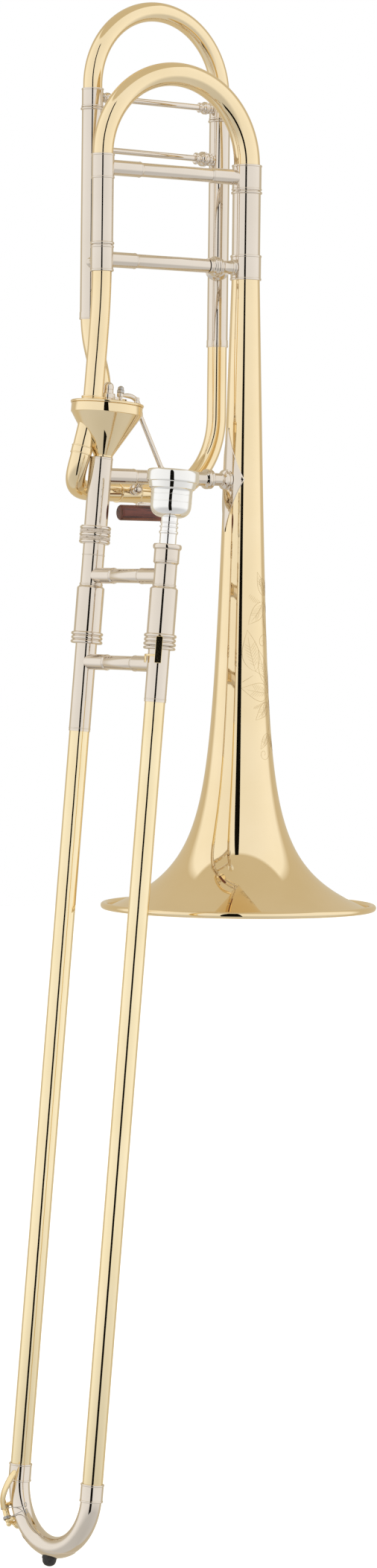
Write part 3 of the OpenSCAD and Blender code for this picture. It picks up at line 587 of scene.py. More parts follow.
BRACE_R, SLEEVE_R, F_LEG_R = 5.35, 5.95, 8.0
COUPLING = [
    (0, 0), (6.0, 0), (6.0, 0.5), (6.3, 0.9), (6.3, 1.6), (6.0, 2.0), (5.9, 3.0), (6.1, 3.8), (6.8, 4.4),
    (7.5, 5.0), (7.8, 5.8), (7.8, 6.6), (7.3, 7.2), (6.9, 7.5), (7.2, 7.9), (7.4, 8.5), (7.2, 9.2),
    (6.5, 9.8), (6.0, 10.4), (6.3, 11.0), (6.4, 11.6), (5.9, 12.3), (5.1, 12.9), (4.9, 13.6), (4.9, 19.2),
    (5.3, 19.8), (5.4, 20.4), (5.0, 21.0), (5.2, 21.8), (6.0, 22.4), (6.3, 23.2), (6.2, 24.0), (0, 24.0),
]
RECEIVER_END = [
    (0, -31), (5.4, -31), (5.6, -22.8), (6.2, -21.9), (6.5, -21), (7.5, -20.2), (7.8, -19.2), (7.8, -17.6),
    (7.3, -16.8), (7.6, -16.1), (7.6, -15.1), (6.8, -14.2), (5.7, -13.6), (5, -13), (4.9, -6.6), (5.4, -6),
    (5.2, -5.1), (6.6, -4.3), (7.6, -3.4), (7.7, -1.8), (7.3, -0.9), (8.1, -0.3), (8.1, 0.6), (0, 0.6),
]
ROD_END = [
    (0, 0), (3.0, 0), (3.4, 0.5), (4.0, 1.0), (4.0, 1.6), (3.3, 2.2), (2.9, 3.0), (3.0, 3.8), (3.6, 4.6),
    (4.6, 5.4), (5.0, 6.2), (5.0, 6.9), (4.5, 7.4), (4.5, 7.8), (5.0, 8.2), (4.9, 9.0), (4.1, 9.8),
    (3.4, 10.4), (3.2, 11.2), (3.5, 11.8), (4.3, 12.3), (4.3, 12.9), (3.6, 13.5), (3.4, 14.2), (4.6, 15.0),
    (0, 15.0),
]


def socket(at, length, leg_r):
    """Sleeve with a fine bead and a step down to its brace, its foot fitted round an upright leg."""
    line = [(SLEEVE_R * k / 4, 0) for k in range(5)] + bulge(length - 1.6, SLEEVE_R, 0.45, 0.18, 6)
    line += [(SLEEVE_R, length - 0.9), (BRACE_R + 0.1, length), (0, length)]
    verts, faces = lathe(line, sides=64)
    for p in verts:
        p.z = max(p.z, math.sqrt(max(leg_r**2 - p.y**2, 0)))
    return [at @ p for p in verts], faces


def tube_brace(at, length, sleeve_l, first, last):
    """Tube between two round legs. first and last are radii inside the walls of the legs."""
    far = shifted(at, z=length) @ Matrix.Rotation(pi, 4, "X")
    return [rod(at, BRACE_R, sleeve_l - 2, length - sleeve_l + 2, sides=64), socket(at, sleeve_l, first),
            socket(far, sleeve_l, last)]


def strut(start, leg, skip, r, foot_r):
    """Oval strut from a point to an F leg, with a flared foot on the leg."""
    way = (leg - start).xy.to_3d()
    end = way.length - F_LEG_R
    line = [(0, skip), (r, skip), (r, end - 5.0), (r + 0.5, end - 3.6), (foot_r * 0.7, end - 2.2),
            (foot_r - 0.4, end - 1.5), (foot_r, end - 1.0), (foot_r, end - 0.2), (foot_r - 0.4, end),
            (0, end)]
    return lathe(line, across(start, way) @ Matrix.Diagonal((0.78, 1, 1, 1)), 48)


def from_neck(node):
    """Frame from the neck's axis towards the bell at a brace's height."""
    return across((NECK.x, 0, centre(box(node)).z), (1, 0, 0))


def build_tuning_brace():
    parts = tube_brace(from_neck("tuning_brace"), -NECK.x, 34, 8.2, 11.1)
    piece("tuning_brace_tube", "tuning_slide", "nickel_silver", parts, "tuning_brace")


def build_bell_brace():
    """Brace to the bell with its turned coupling, and the struts to the F legs."""
    at = from_neck("bell_brace")
    start = at.translation
    parts = [rod(at, BRACE_R, 28, 95, sides=64), socket(at, 30.5, 8.5),
             lathe(COUPLING, shifted(at, z=95.4), 64), rod(at, 5.6, 119.0, 119.9, 0.3),
             strut(start + Vector((100, 0, 0)), F_RIGHT, 0, 4.2, 9.2),
             strut(start, F_LEFT, 8, 2.9, 5.6)]
    piece("bell_brace_tube", "bell_section", "nickel_silver", parts, "bell_brace")


def build_receiver_brace():
    """Brace to the receiver, with a collar to each side of the thumb lever."""
    at = from_neck("receiver_brace")
    end = box("receiver_brace")[1].x - NECK.x
    lever = pivot("thumb_lever_swing").x - NECK.x
    parts = [rod(at, BRACE_R, 29, 92, sides=64), socket(at, 31.5, 7.5),
             lathe(RECEIVER_END, shifted(at, z=end), 64)]
    parts += [rod(at, 6.4, lever + side - 1, lever + side + 1, 0.35, 64) for side in (-9.3, 9.3)]
    piece("receiver_brace_tube", "bell_section", "nickel_silver", parts, "receiver_brace")


def rod_brace(node, leg_r, body, ends):
    """Thin rod between the F legs with turned ends. ends has each end's shares of length and width."""
    height, way = UP * centre(box(node)).z, F_RIGHT - F_LEFT
    at, back = across(F_LEFT + height, way), across(F_RIGHT + height, -way)
    parts = [rod(at, 2.35, leg_r + 4, way.length - leg_r - 4)]
    for place, (long, wide) in zip((at, back), ends):
        parts.append(lathe([(r * wide, leg_r - 0.6 + (15 - z) * long) for r, z in ROD_END], place, 48))
    piece(node + "_rod", body, "nickel_silver", parts, node)


# ---------- Neckpipe and valve ----------

PIPE_R = 7.6


def port(node):
    """Middle of a tube's lower end, where it stands on the valve's lid."""
    local = points(node, VALVE)
    foot = min(p.z for p in local)
    middle = mean([p for p in local if p.z < foot + 0.3])
    return VALVE @ Vector((middle.x, middle.y, foot))


def rising_pipe(name, node, leg, leave, arrive):
    """Pipe from the valve's lid up into a leg. leave and arrive set how gently it turns at each end."""
    low, top = port(node), leg + UP * box(node)[1].z
    path = curved([low, low + leave * VALVE_WAY, top - arrive * UP, top], 60)
    piece(name, "bell_section", "yellow_brass", [pipe(path)], node)


def build_neck():
    z0, z1, r = measure("neck_ferrule", AT_NECK)
    piece("neck_ferrule_ring", "bell_section", "nickel_silver",
          [beaded(AT_NECK, r - 0.4, r - 1.1, z0, z1, 0.9, 0.4)], "neck_ferrule")
    rising_pipe("neckpipe_tube", "neckpipe", NECK, 36, 36)


def build_valve():
    """Hollow cone, and its lid with the two port collars."""
    z0, z1, r = measure("valve_casing", VALVE, 60)
    wall = 1.4
    cone = [(6.2, z0), (7.3, z0), (7.5, z0 + 0.6), (7.3, z0 + 1.2), (r - 0.5, 33), (r, 33.35), (r, z1),
            (r - wall, z1), (r - wall, 33.5), (6.2, 1.5)]
    parts = [lathe(soften(cone, 0.25), VALVE, 192)]
    piece("valve_cone", "bell_section", "yellow_brass", parts, "valve_casing")

    z0, z1, r = measure("valve_lid", VALVE, 60)
    top = z0 + 2.2
    lid = [(4.1, z0), (r - 0.3, z0)] + arc(r - 0.9, (z0 + top) / 2, 0.9, 1.05, -75, 75, 10)
    lid += [(r - 1.4, top), (r - 2.0, top - 0.35), (r - 2.8, top), (4.1, top)]
    parts = [lathe(lid, VALVE, 192), tube(VALVE, 6.6, 4.1, top - 0.1, top + 1.1, 0.3, 64)]
    for node in ("neckpipe", "f_outlet_tube"):
        foot = VALVE.inverted() @ port(node)
        parts.append(beaded(shifted(VALVE, foot.x, foot.y), 8.6, 7.7, top - 0.1, z1 + 0.4, 0.7, 0.5))
    piece("valve_cover", "bell_section", "yellow_brass", parts, "valve_lid")


def build_valve_stops():
    z0, z1, _ = measure("valve_stops", VALVE, 60)
    line = [(0, z0), (1.8, z0)] + bulge(z0 + 1.6, 1.8, 0.8, 0.12) + bulge(z1 - 1.6, 1.8, 0.8, 0.12)
    line += [(1.5, z1), (0, z1)]
    parts = []
    for sign in (-1, 1):
        middle = mean([p for p in points("valve_stops", VALVE) if p.y * sign > 0])
        parts.append(lathe(line, shifted(VALVE, middle.x, middle.y), 32))
    piece("valve_stop_posts", "bell_section", "nickel_silver", parts, "valve_stops")


def build_rotor_top():
    """Spindle with its domed cap, and the slotted arm with its hub and clamp screw."""
    z0, z1, r = measure("rotor_spindle", VALVE)
    neck, groove = z1 - r, r - 0.25
    line = [(0, z0), (r, z0), (r, neck - 2.2), (groove, neck - 2.0), (groove, neck - 1.7), (r, neck - 1.5)]
    line += arc(0, neck, r, r, 0, 90, 9)
    piece("rotor_cap", "valve_rotor", "nickel_silver", [lathe(line, VALVE, 64)], "rotor_spindle")

    z0, z1, reach = measure("rotor_arm", VALVE, 60)
    at = VALVE @ Matrix.Rotation(heading("rotor_arm", VALVE, 15), 4, "Z")
    bore = r + 0.02
    hub = soften([(bore, z0), (5.6, z0), (5.6, z1 - 0.8), (5.2, z1), (bore, z1)])
    screw = shifted(at, -0.2, -5.5, z0 + 2) @ Matrix.Rotation(radians(90), 4, "X")
    head = lathe([(0, -1.4), (1.2, -1.4), (1.3, -0.2), (0.9, 0.3), (0, 0.4)], screw, 24)
    parts = [lathe(hub, at, 64), head] + slotted_arm(shifted(at, z=z0), reach)
    piece("rotor_crank", "valve_rotor", "nickel_silver", parts, "rotor_arm")


def slotted_arm(at, reach):
    """Arm plate with an open slot for the link's pin, as a fork of two prongs and a bridge."""
    half, slot, thick = 3.0, 1.9, 2.0
    inner, outer = 14.6, 17.2
    root = inner - slot - 0.8
    parts = [plate(rounded_box((4.6, inner - 1.5), (-half, half), 0.3), thick, at, 0.2)]
    for sign in (-1, 1):
        outline = [(root, sign * half)] + arc(reach - half, 0, half, sign * half, 90, 0, 10)
        outline += arc(outer, 0, slot, sign * slot, 0, 90, 10) + arc(inner, 0, slot, sign * slot, 90, 180, 10)
        outline.append((root, 0))
        parts.append(plate(outline if sign < 0 else outline[::-1], thick, at, 0.12))
    return parts


# ---------- F tubing ----------

F_BEND_R = 62
PORT_START = VALVE @ Vector((-13.2, 2, 30))


def outer_leg(at):
    """F attachment's outer leg: a tube with a bead on top and a fine double line at its foot."""
    z0, z1, r = measure("f_outer_legs", at)
    r -= 1.05
    line = [(r - 0.6, z0), (r + 0.25, z0)] + bulge(z0 + 0.9, r + 0.25, 0.5, 0.2) + [(r + 0.25, z0 + 5.4)]
    line += [(r, z0 + 6), (r, z1 - 2.2)] + bulge(z1 - 1.05, r, 1.05, 1.05, 12) + [(r - 0.6, z1)]
    return lathe(line, at)


def build_f_legs():
    piece("f_outer_leg_tubes", "bell_section", "nickel_silver", [outer_leg(AT_F_LEFT), outer_leg(AT_F_RIGHT)],
          "f_outer_legs")
    rod_brace("f_leg_brace", 8.15, "bell_section", ((0.72, 0.9), (1.12, 1.16)))
    rising_pipe("f_outlet_bend", "f_outlet_tube", F_LEFT, 30, 34)


def build_f_bend():
    """Long lower bend under the right leg. Gives the bend's end and the way that the low tube runs on."""
    middle = centre(solids("f_joint_ferrules")[1])
    along = (middle - F_RIGHT).xy.to_3d().normalized()
    low, high = box("f_bend")
    bottom = low.z + PIPE_R
    drop = high.z - bottom - F_BEND_R
    path = [(F_RIGHT + UP * (high.z - drop * k / 6), -UP) for k in range(6)]
    hub = F_RIGHT + UP * (bottom + F_BEND_R) + along * F_BEND_R
    for a in (radians(90 * k / 48) for k in range(49)):
        path.append((hub - F_BEND_R * (along * cos(a) + UP * sin(a)), along * sin(a) - UP * cos(a)))
    end = path[-1][0]
    path.append((end + along * 32, along))
    piece("f_bend_tube", "bell_section", "yellow_brass", [pipe(path)], "f_bend")
    return end, along


def build_f_return(end, along):
    """Elbow from the low tube back to the cone's side, the port tube, and the rings on the two joints."""
    into = (mean(solids("f_joint_ferrules")[0]) - PORT_START).normalized()
    start, turn, foot = end + along * 32.1, end + along * 70, PORT_START + into * 27
    elbow = [(start.lerp(turn, k / 5), along) for k in range(5)]
    elbow += curved([turn, turn + 22 * along, foot + 18 * into, foot], 48)
    piece("f_return_bend", "bell_section", "yellow_brass", [pipe(elbow)], "f_return_elbow")
    bore = PIPE_R - 0.1
    rings = [beaded(across(end + along * 22, along), PIPE_R + 0.5, bore, 0, 21, 0.7),
             beaded(across(foot + into * 3, -into), PIPE_R + 0.45, bore, 0, 6.4, 0.5, 0.3)]
    piece("f_joint_rings", "bell_section", "yellow_brass", rings, "f_joint_ferrules")
    side = [(foot - into * reach, -into) for reach in (0, 10, 34)]
    piece("f_port_side_tube", "bell_section", "yellow_brass", [pipe(side)], "f_port_tube")


def build_f_post(end, along):
    """Ball with one stem up to the receiver brace and one down to the low F tube."""
    middle = Vector((centre(box("f_post")).x, 9.5, 327))
    up = Vector((middle.x, 0, centre(box("receiver_brace")).z)) - middle
    down = end + along * 30 - middle
    top, low = up.length, down.length
    upper = [(0, 3), (2.4, 3), (2.4, top - 6.6), (3.2, top - 5.8), (3.6, top - 4.4), (0, top - 4.4)]
    lower = [(0, 2), (3, 2), (3, 3.4), (4.4, 3.6), (4.7, 4.2), (4.4, 4.9), (3.1, 5.2), (3.1, low - 8),
             (3.8, low - 7), (0, low - 7)]
    parts = [ball(Matrix.Translation(middle), 4.6), lathe(upper, across(middle, up), 48),
             lathe(lower, across(middle, down), 48)]
    piece("f_post_ball", "bell_section", "nickel_silver", parts, "f_post")


# ---------- Slides that pull out ----------


def half_bend(at, radius, radii, wall, legs=0.0):
    """Half circle bend in a frame's XZ plane, crown up, middle at the origin, with straight legs below."""
    turn, steps = at.to_3x3(), 96
    path = []
    for a in (pi - pi * k / steps for k in range(steps + 1)):
        way = turn @ Vector((sin(a), 0, -cos(a)))
        path.append((at @ Vector((radius * cos(a), 0, radius * sin(a))), way.normalized()))
    size = [radii[0] + (radii[1] - radii[0]) * k / steps for k in range(steps + 1)]
    if legs:
        down = turn @ (UP * -legs)
        path = [(path[0][0] + down, path[0][1])] + path + [(path[-1][0] + down, path[-1][1])]
        size = [radii[0]] + size + [radii[1]]
    return sweep(path, size, wall, 72)


def build_tuning_slide():
    at = Matrix.Translation((NECK.x / 2, 0, box("tuning_crook")[0].z))
    piece("tuning_crook_bend", "tuning_slide", "yellow_brass",
          [half_bend(at, -NECK.x / 2, (7.85, 10.15), 0.6)], "tuning_crook")
    parts = []
    for at, r, bore, rise in ((AT_NECK, 8.75, 7.6, 0.35), (WORLD, 11.45, 9.8, 0.4)):
        z0, z1, _ = measure("tuning_ferrules", at)
        parts.append(beaded(at, r, bore, z0, z1, 0.8, rise))
    piece("tuning_ferrule_rings", "tuning_slide", "nickel_silver", parts, "tuning_ferrules")
    z0, z1, _ = measure("tuning_outer_leg", AT_NECK)
    r, bore = 8.4, 7.9
    line = [(bore, z0), (r, z0)] + bulge(z0 + 1.1, r, 1.1, 0.95, 12) + [(r, z1), (bore, z1)]
    piece("tuning_leg_tube", "tuning_slide", "nickel_silver", [lathe(line, AT_NECK)], "tuning_outer_leg")


def build_f_slide():
    low, high = box("f_crook")
    way, r = F_RIGHT - F_LEFT, 7.4
    half = way.length / 2
    middle = high.z - half - r
    crown = axes((F_LEFT + F_RIGHT) / 2 + UP * middle, UP, way)
    piece("f_crook_bend", "f_tuning_slide", "yellow_brass",
          [half_bend(crown, half, (r, r), 0.6, middle - low.z)], "f_crook")
    parts = []
    for at in (AT_F_LEFT, AT_F_RIGHT):
        z0, z1, _ = measure("f_crook_ferrules", at)
        parts.append(beaded(at, 8.3, 7.3, z0, z1, 0.75, 0.3))
    piece("f_crook_rings", "f_tuning_slide", "nickel_silver", parts, "f_crook_ferrules")
    rod_brace("f_slide_brace", 8.35, "f_tuning_slide", ((0.8, 0.85), (0.9, 0.98)))


# ---------- Hand slide ----------


def slide_brace(name, body, z, leg_r, node):
    """Brace between the slide's two tubes at a height up the slide."""
    at = across(LOWER @ (UP * z), UPPER.translation - LOWER.translation)
    piece(name, body, "nickel_silver", tube_brace(at, SPACING, 29, leg_r, leg_r), node)


def build_receiver():
    """Slide receiver under the valve, and the tenon that its nut draws in."""
    z0, z1, r = measure("slide_receiver", LOWER)
    line = [(6.3, z0), (r, z0)] + bulge(z1 - 1.0, r, 0.5, 0.2) + [(r, z1), (6.3, z1)]
    piece("receiver_tube", "bell_section", "nickel_silver", [lathe(line, LOWER)], "slide_receiver")

    z0, z1, _ = measure("slide_tenon", LOWER)
    r, shoulder = 8.45, 774.4
    line = [(7.2, z0), (r, z0)] + bulge(766, r, 0.45, 0.3) + [(r, shoulder), (7.8, shoulder), (7.05, z1)]
    line += [(6.4, z1), (6.4, z0 + 22), (7.2, z0 + 22)]
    piece("tenon_tube", "bell_section", "nickel_silver", [lathe(line, LOWER)], "slide_tenon")


def build_mouthpiece_socket():
    z0, z1, r = measure("mouthpiece_receiver", UPPER)
    line = [(7.2, z0), (8.5, z0), (8.5, z0 + 14.6)] + bulge(z0 + 16.4, 9.45, 0.6, 0.3)
    line += [(9.6, z0 + 17.4), (9.6, z1 - 4.2)] + bulge(z1 - 2.0, 9.8, 2.0, r - 9.6, 12)
    line += [(6.6, z1), (5.7, z0 + 4), (7.2, z0 + 4)]
    piece("mouthpiece_socket", "bell_section", "nickel_silver", [lathe(line, UPPER)], "mouthpiece_receiver")


def build_cork_barrels():
    """Barrel with three beads at its foot and a shoulder in to its neck, on each inner tube."""
    parts = []
    for at in (LOWER, UPPER):
        z0, z1, ring_r = measure("cork_barrels", at)
        top, r, neck, bore = z0 + 42.6, 10.5, 8.75, 7.25
        line = [(bore, z0), (8.6, z0)]
        for k, size in enumerate((1.0, 0.82, 1.0)):
            line += bulge(z0 + 1.5 + 3.15 * k, r + 0.35, 1.4, (ring_r - r - 0.35) * size, 12)
        line += [(r, z0 + 9.4), (r, top)]
        line += [(neck + (r - neck) * (0.5 + 0.5 * cos(pi * k / 8)), top + 0.3 * k) for k in range(1, 9)]
        line += bulge(z1 - 1.0, neck, 0.5, 0.25) + [(neck, z1), (bore, z1)]
        parts.append(lathe(line, at, 128))
    piece("cork_barrel_pair", "bell_section", "nickel_silver", parts, "cork_barrels")


def knurl(rows, depth, z0, z1):
    """Diamond knurl between two heights."""

    def wave(z, a):
        inside = max(0.0, min(1.0, (z - z0) / 0.3, (z1 - z) / 0.3))
        pitch = 2 * pi * (z - z0) / 0.95
        return depth * inside * max(-0.8, sin(rows * a + pitch) * sin(rows * a - pitch) * 1.5)

    return wave


def build_lock_nut():
    """Ring with three beads and two knurled bands between them."""
    z0, z1, _ = measure("lock_nut", LOWER)
    r, knurl_r, root = 10.95, 11.55, 9
    parts = [lathe([(8.1, z0), (r, z0), (r, z1), (8.1, z1)], LOWER)]
    for z in (z0 + 1.6, z0 + 6.9, z0 + 12.2):
        line = [(root, z - 1.35), (r - 0.1, z - 1.35)] + bulge(z, r - 0.1, 1.3, 1.1, 12) + [(root, z + 1.35)]
        parts.append(lathe(line, LOWER, 128))
    for low in (z0 + 3.0, z0 + 8.35):
        high = low + 2.45
        line = [(root, low)] + [(knurl_r, low + (high - low) * k / 20) for k in range(21)] + [(root, high)]
        parts.append(lathe(line, LOWER, 384, knurl(48, 0.16, low, high)))
    piece("lock_nut_ring", "lock_nut", "nickel_silver", parts, "lock_nut")


def build_slide_lock():
    """Ring under the barrel, with its finger."""
    z0, z1, _ = measure("slide_lock", UPPER)
    ring_z = min(p.z for p in points("slide_lock", UPPER) if p.xy.length < 9.1)
    ring = [(8.85, ring_z)] + bulge(ring_z + 1.1, 10.9, 1.1, 1.25, 12) + [(8.85, ring_z + 2.2)]
    piece("slide_lock_ring", "slide_lock", "nickel_silver", [lathe(ring, UPPER)])
    at = UPPER @ Matrix.Rotation(heading("slide_lock", UPPER, 13) - radians(4), 4, "Z")
    parts = [plate(rounded_box((-2.6, 2.6), (z0, z1), 0.8), 1.3, upright(at, 12.6)),
             plate(rounded_box((11.4, 13.2), (-2.5, 2.5), 0.3), 2.2, shifted(at, z=ring_z), 0.2),
             plate(rounded_box((9.4, 12.9), (-2.5, 2.5), 0.4), 1.4, shifted(at, z=z0))]
    piece("slide_lock_finger", "slide_lock", "lacquered_brass", parts, "slide_lock")


def build_lock_catch():
    """Band on the outer slide's upper tube, with the tongue that the finger turns behind."""
    top = max(p.z for p in points("outer_brace", UPPER) if p.y < -7)
    section = ((8.2, -1.6), (10.6, -1.6), (10.83, -1.35), (10.83, -0.25), (10.6, 0), (8.2, 0))
    turns = [radians(243 + 64 * k / 20) for k in range(21)]
    rings = [[UPPER @ Vector((r * cos(a), r * sin(a), top + z)) for r, z in section] for a in turns]
    face = upright(UPPER @ Matrix.Rotation(radians(246), 4, "Z"), 9.5)
    tongue = plate(rounded_box((-1.3, 1.3), (top - 6.4, top - 0.3), 0.4), 1.3, face, 0.2)
    piece("slide_lock_catch", "outer_slide", "lacquered_brass", [skin(rings, False), tongue])


def build_outer_slide():
    tubes, sleeves = [], []
    for at in (LOWER, UPPER):
        z0, z1, r = measure("outer_tubes", at)
        tubes.append(tube(at, r, r - 0.35, z0, z1))
        z0, z1, r = measure("outer_sleeves", at)
        line = [(r - 0.5, z0), (r, z0)] + bulge(z0 + 2.2, r, 0.4, 0.18, 6) + [(r, z1), (r - 0.5, z1)]
        sleeves.append(lathe(line, at))
    # The outer tubes take the brighter lit copy of the brass, a painted highlight.
    piece("outer_tube_pair", "outer_slide", "yellow_brass", tubes, "outer_tubes", material=SLIDE_TUBE_BRASS_PAINTED_HIGHLIGHT)
    piece("outer_sleeve_pair", "outer_slide", "nickel_silver", sleeves, "outer_sleeves")


# ---------- Slide crook, guard and bumper ----------

TURN = LOWER.to_3x3()
CROOK_R, CROOK_TUBE_R = SPACING / 2, 7.9
CROOK_MIDDLE = Vector((CROOK_R, 0, 60))


def build_slide_crook():
    crown = axes(LOWER @ CROOK_MIDDLE, -TURN.col[2], TURN.col[0])
    parts = [half_bend(crown, CROOK_R, (CROOK_TUBE_R, CROOK_TUBE_R), 0.8)]
    parts += [beaded(at, 8.55, 7.75, 56.8, 70.4) for at in (LOWER, UPPER)]
    piece("slide_crook_bend", "outer_slide", "nickel_silver", parts, "slide_crook")


def build_guard():
    """Thin plate with pointed ends under the bend, and the rubber bumper below it."""
    first, last = radians(48), radians(124)

    def place(v, u, r):
        """Point over the crook's tube, v round the bend and u round the tube from its outside."""
        angle = first + (last - first) * v
        turn = u * radians(75) * max(min(1.0, 3.2 * v, 3.2 * (1 - v)), 0.02) ** 0.6
        reach = CROOK_R + r * cos(turn)
        return LOWER @ (CROOK_MIDDLE + Vector((-reach * cos(angle), r * sin(turn), -reach * sin(angle))))

    sheet = shell(48, 20, place, (7.85, 8.3))
    piece("crook_guard_plate", "outer_slide", "nickel_silver", [sheet], "crook_guard")
    line = [(0, 0), (1.4, 0.1), (2.7, 0.5), (3.8, 1.2), (4.6, 2.2), (5.1, 3.3), (5.3, 4.5), (5.35, 5.4),
            (5.7, 5.9), (5.8, 6.6), (5.6, 7.2), (5.6, 9.0), (0, 9.0)]
    piece("bumper_foot", "outer_slide", "rubber", [lathe(line, shifted(LOWER, x=CROOK_R), 64)], "bumper")


# ---------- Water key ----------


def key_frame():
    """Frame on the water key's hinge, Z along the hinge and X away from the crook."""
    hinge = pivot("water_key_press")
    inward = CROOK_MIDDLE - LOWER.inverted() @ hinge
    angle = math.atan2(inward.z, inward.x)
    along, out = Vector((sin(angle), 0, -cos(angle))), Vector((-cos(angle), 0, -sin(angle)))
    return axes(hinge, TURN @ along, TURN @ out)


KEY = key_frame()
HINGE = LOWER.inverted() @ KEY.translation
NIPPLE_WAY = Vector((-cos(radians(40)), 0, -sin(radians(40))))


def lever_blade(places, widths, thicks, up):
    """Flat tapered strip with a rounded section, smoothed through a few points of the slide's own axes."""
    rows = []
    steps, last = 10, len(places) - 1
    for i in range(last):
        p = [places[min(max(i + k, 0), last)] for k in (-1, 0, 1, 2)]
        for t in (k / steps for k in range(steps + (i == last - 1))):
            place = 0.5 * (2 * p[1] + (p[2] - p[0]) * t + (2 * p[0] - 5 * p[1] + 4 * p[2] - p[3]) * t * t
                           + (3 * p[1] - p[0] - 3 * p[2] + p[3]) * t**3)
            wide, thick = (s[i] + (s[i + 1] - s[i]) * t for s in (widths, thicks))
            rows.append((place, wide, thick))
    rings = []
    sides, last = 20, len(rows) - 1
    for i, (place, wide, thick) in enumerate(rows):
        way = (rows[min(i + 1, last)][0] - rows[max(i - 1, 0)][0]).normalized()
        side = way.cross(up).normalized()
        end = min(1.0, 0.35 + 0.65 * min(i, last - i) / 3)
        ring = []
        for a in (2 * pi * k / sides for k in range(sides)):
            x = math.copysign(abs(cos(a)) ** 0.6, cos(a)) * wide * end
            y = math.copysign(abs(sin(a)) ** 0.8, sin(a)) * thick * end
            ring.append(LOWER @ (place + side * x + side.cross(way) * y))
        rings.append(ring)
    return skin(rings, False)


def build_water_key():
    """Barrel on the hinge, the blade that is pressed, and the arm with its cork cup."""
    barrel = [(1.05, -4.5), (2.5, -4.5)] + bulge(-3.9, 2.5, 0.6, 0.25) + bulge(3.9, 2.5, 0.6, 0.25)
    barrel += [(2.5, 4.5), (1.05, 4.5)]
    root, middle, tip = HINGE + Vector((-0.8, -1.6, 2)), Vector((1, -14, 50)), Vector((12.5, -13.8, 67))
    blade = (root, root.lerp(middle, 0.5) + Vector((-1.2, -0.8, 0)), middle,
             middle.lerp(tip, 0.55) + Vector((-0.4, -0.5, 0)), tip)
    cork = CROOK_MIDDLE + NIPPLE_WAY * (CROOK_R + 13.2)
    arm = (HINGE + Vector((-1.2, 1.4, -2)), HINGE.lerp(cork, 0.5) + Vector((-1.6, 0.6, -1.4)), cork)
    cup = [(0, 0.2), (2.9, 0.2), (3.3, 0), (3.5, 0.4), (3.4, 1.6), (2.6, 2.3), (1.2, 2.6), (0, 2.6)]
    parts = [lathe(barrel, KEY, 40),
             lever_blade(blade, (3.4, 2.9, 2.9, 3.0, 2.2), (1.4, 1.1, 1.0, 0.9, 0.8), Vector((0, -1, 0))),
             lever_blade(arm, (2.2, 1.6, 1.8), (1.2, 1.1, 1.1), NIPPLE_WAY),
             lathe(cup, across(LOWER @ (cork - NIPPLE_WAY * 2.4), TURN @ NIPPLE_WAY), 40)]
    piece("water_key_lever", "water_key", "lacquered_brass", parts, "water_key")


def build_saddle():
    """Saddle posts, pivot screw with ball heads, and drain nipple."""
    along = (TURN.inverted() @ KEY.col[2].to_3d()).normalized()
    foot = [(0, -0.6), (3.4, -0.4), (3.0, 0.4), (2.0, 0.9), (1.6, 1.6), (0, 1.6)]
    parts = [rod(KEY, 1.0, -10, 10, 0.1, 24)]
    for sign in (-1, 1):
        post = HINGE + along * 6.2 * sign
        flat = Vector((post.x, 0, post.z)) - CROOK_MIDDLE
        root = CROOK_MIDDLE + flat.normalized() * CROOK_R
        way = post - root
        root += way.normalized() * (CROOK_TUBE_R - 0.6)
        parts += [bar([LOWER @ p for p in (root, root.lerp(post, 0.5), post)], 1.6, 20),
                  lathe(foot, across(LOWER @ root, TURN @ way), 32),
                  ball(shifted(KEY, z=6.2 * sign), 2.2), ball(shifted(KEY, z=8.9 * sign), 2.0)]
    nipple = across(LOWER @ (CROOK_MIDDLE + NIPPLE_WAY * CROOK_R), TURN @ NIPPLE_WAY)
    parts.append(lathe([(0, 7), (4.4, 7), (4.2, 8.2), (3.4, 8.6), (3.3, 10.4), (0, 10.4)], nipple, 40))
    piece("key_saddle_posts", "outer_slide", "lacquered_brass", parts, "key_saddle")


def spring(sign, reach, rise):
    """Coil round the hinge with a straight tail that ends in a small loop."""
    turns, steps, coil_r, loop_r = 4, 112, 3.0, 1.6
    places = []
    for t in (k / steps for k in range(steps + 1)):
        a = 2 * pi * turns * t
        places.append(KEY @ Vector((coil_r * cos(a), coil_r * sin(a), sign * (3 + 2 * t))))
    start = LOWER.inverted() @ places[-1]
    front = -9.4 - start.y
    for t in (k / 24 for k in range(1, 25)):
        places.append(LOWER @ (start + Vector((reach * t, front * sin(pi / 2 * min(1, 3 * t)), rise * t))))
    base = start + Vector((reach, front, rise))
    for a in (2 * pi * k / 15 for k in range(1, 15)):
        places.append(LOWER @ (base + Vector((0.9 * loop_r * sin(a), 0.1, -sign * loop_r * (1 - cos(a))))))
    return bar(places, 0.32, 10)


def build_springs():
    piece("water_key_springs", "outer_slide", "steel", [spring(-1, 31, 6.6), spring(1, 28, 14)])


# ---------- Mouthpiece and thumb lever ----------


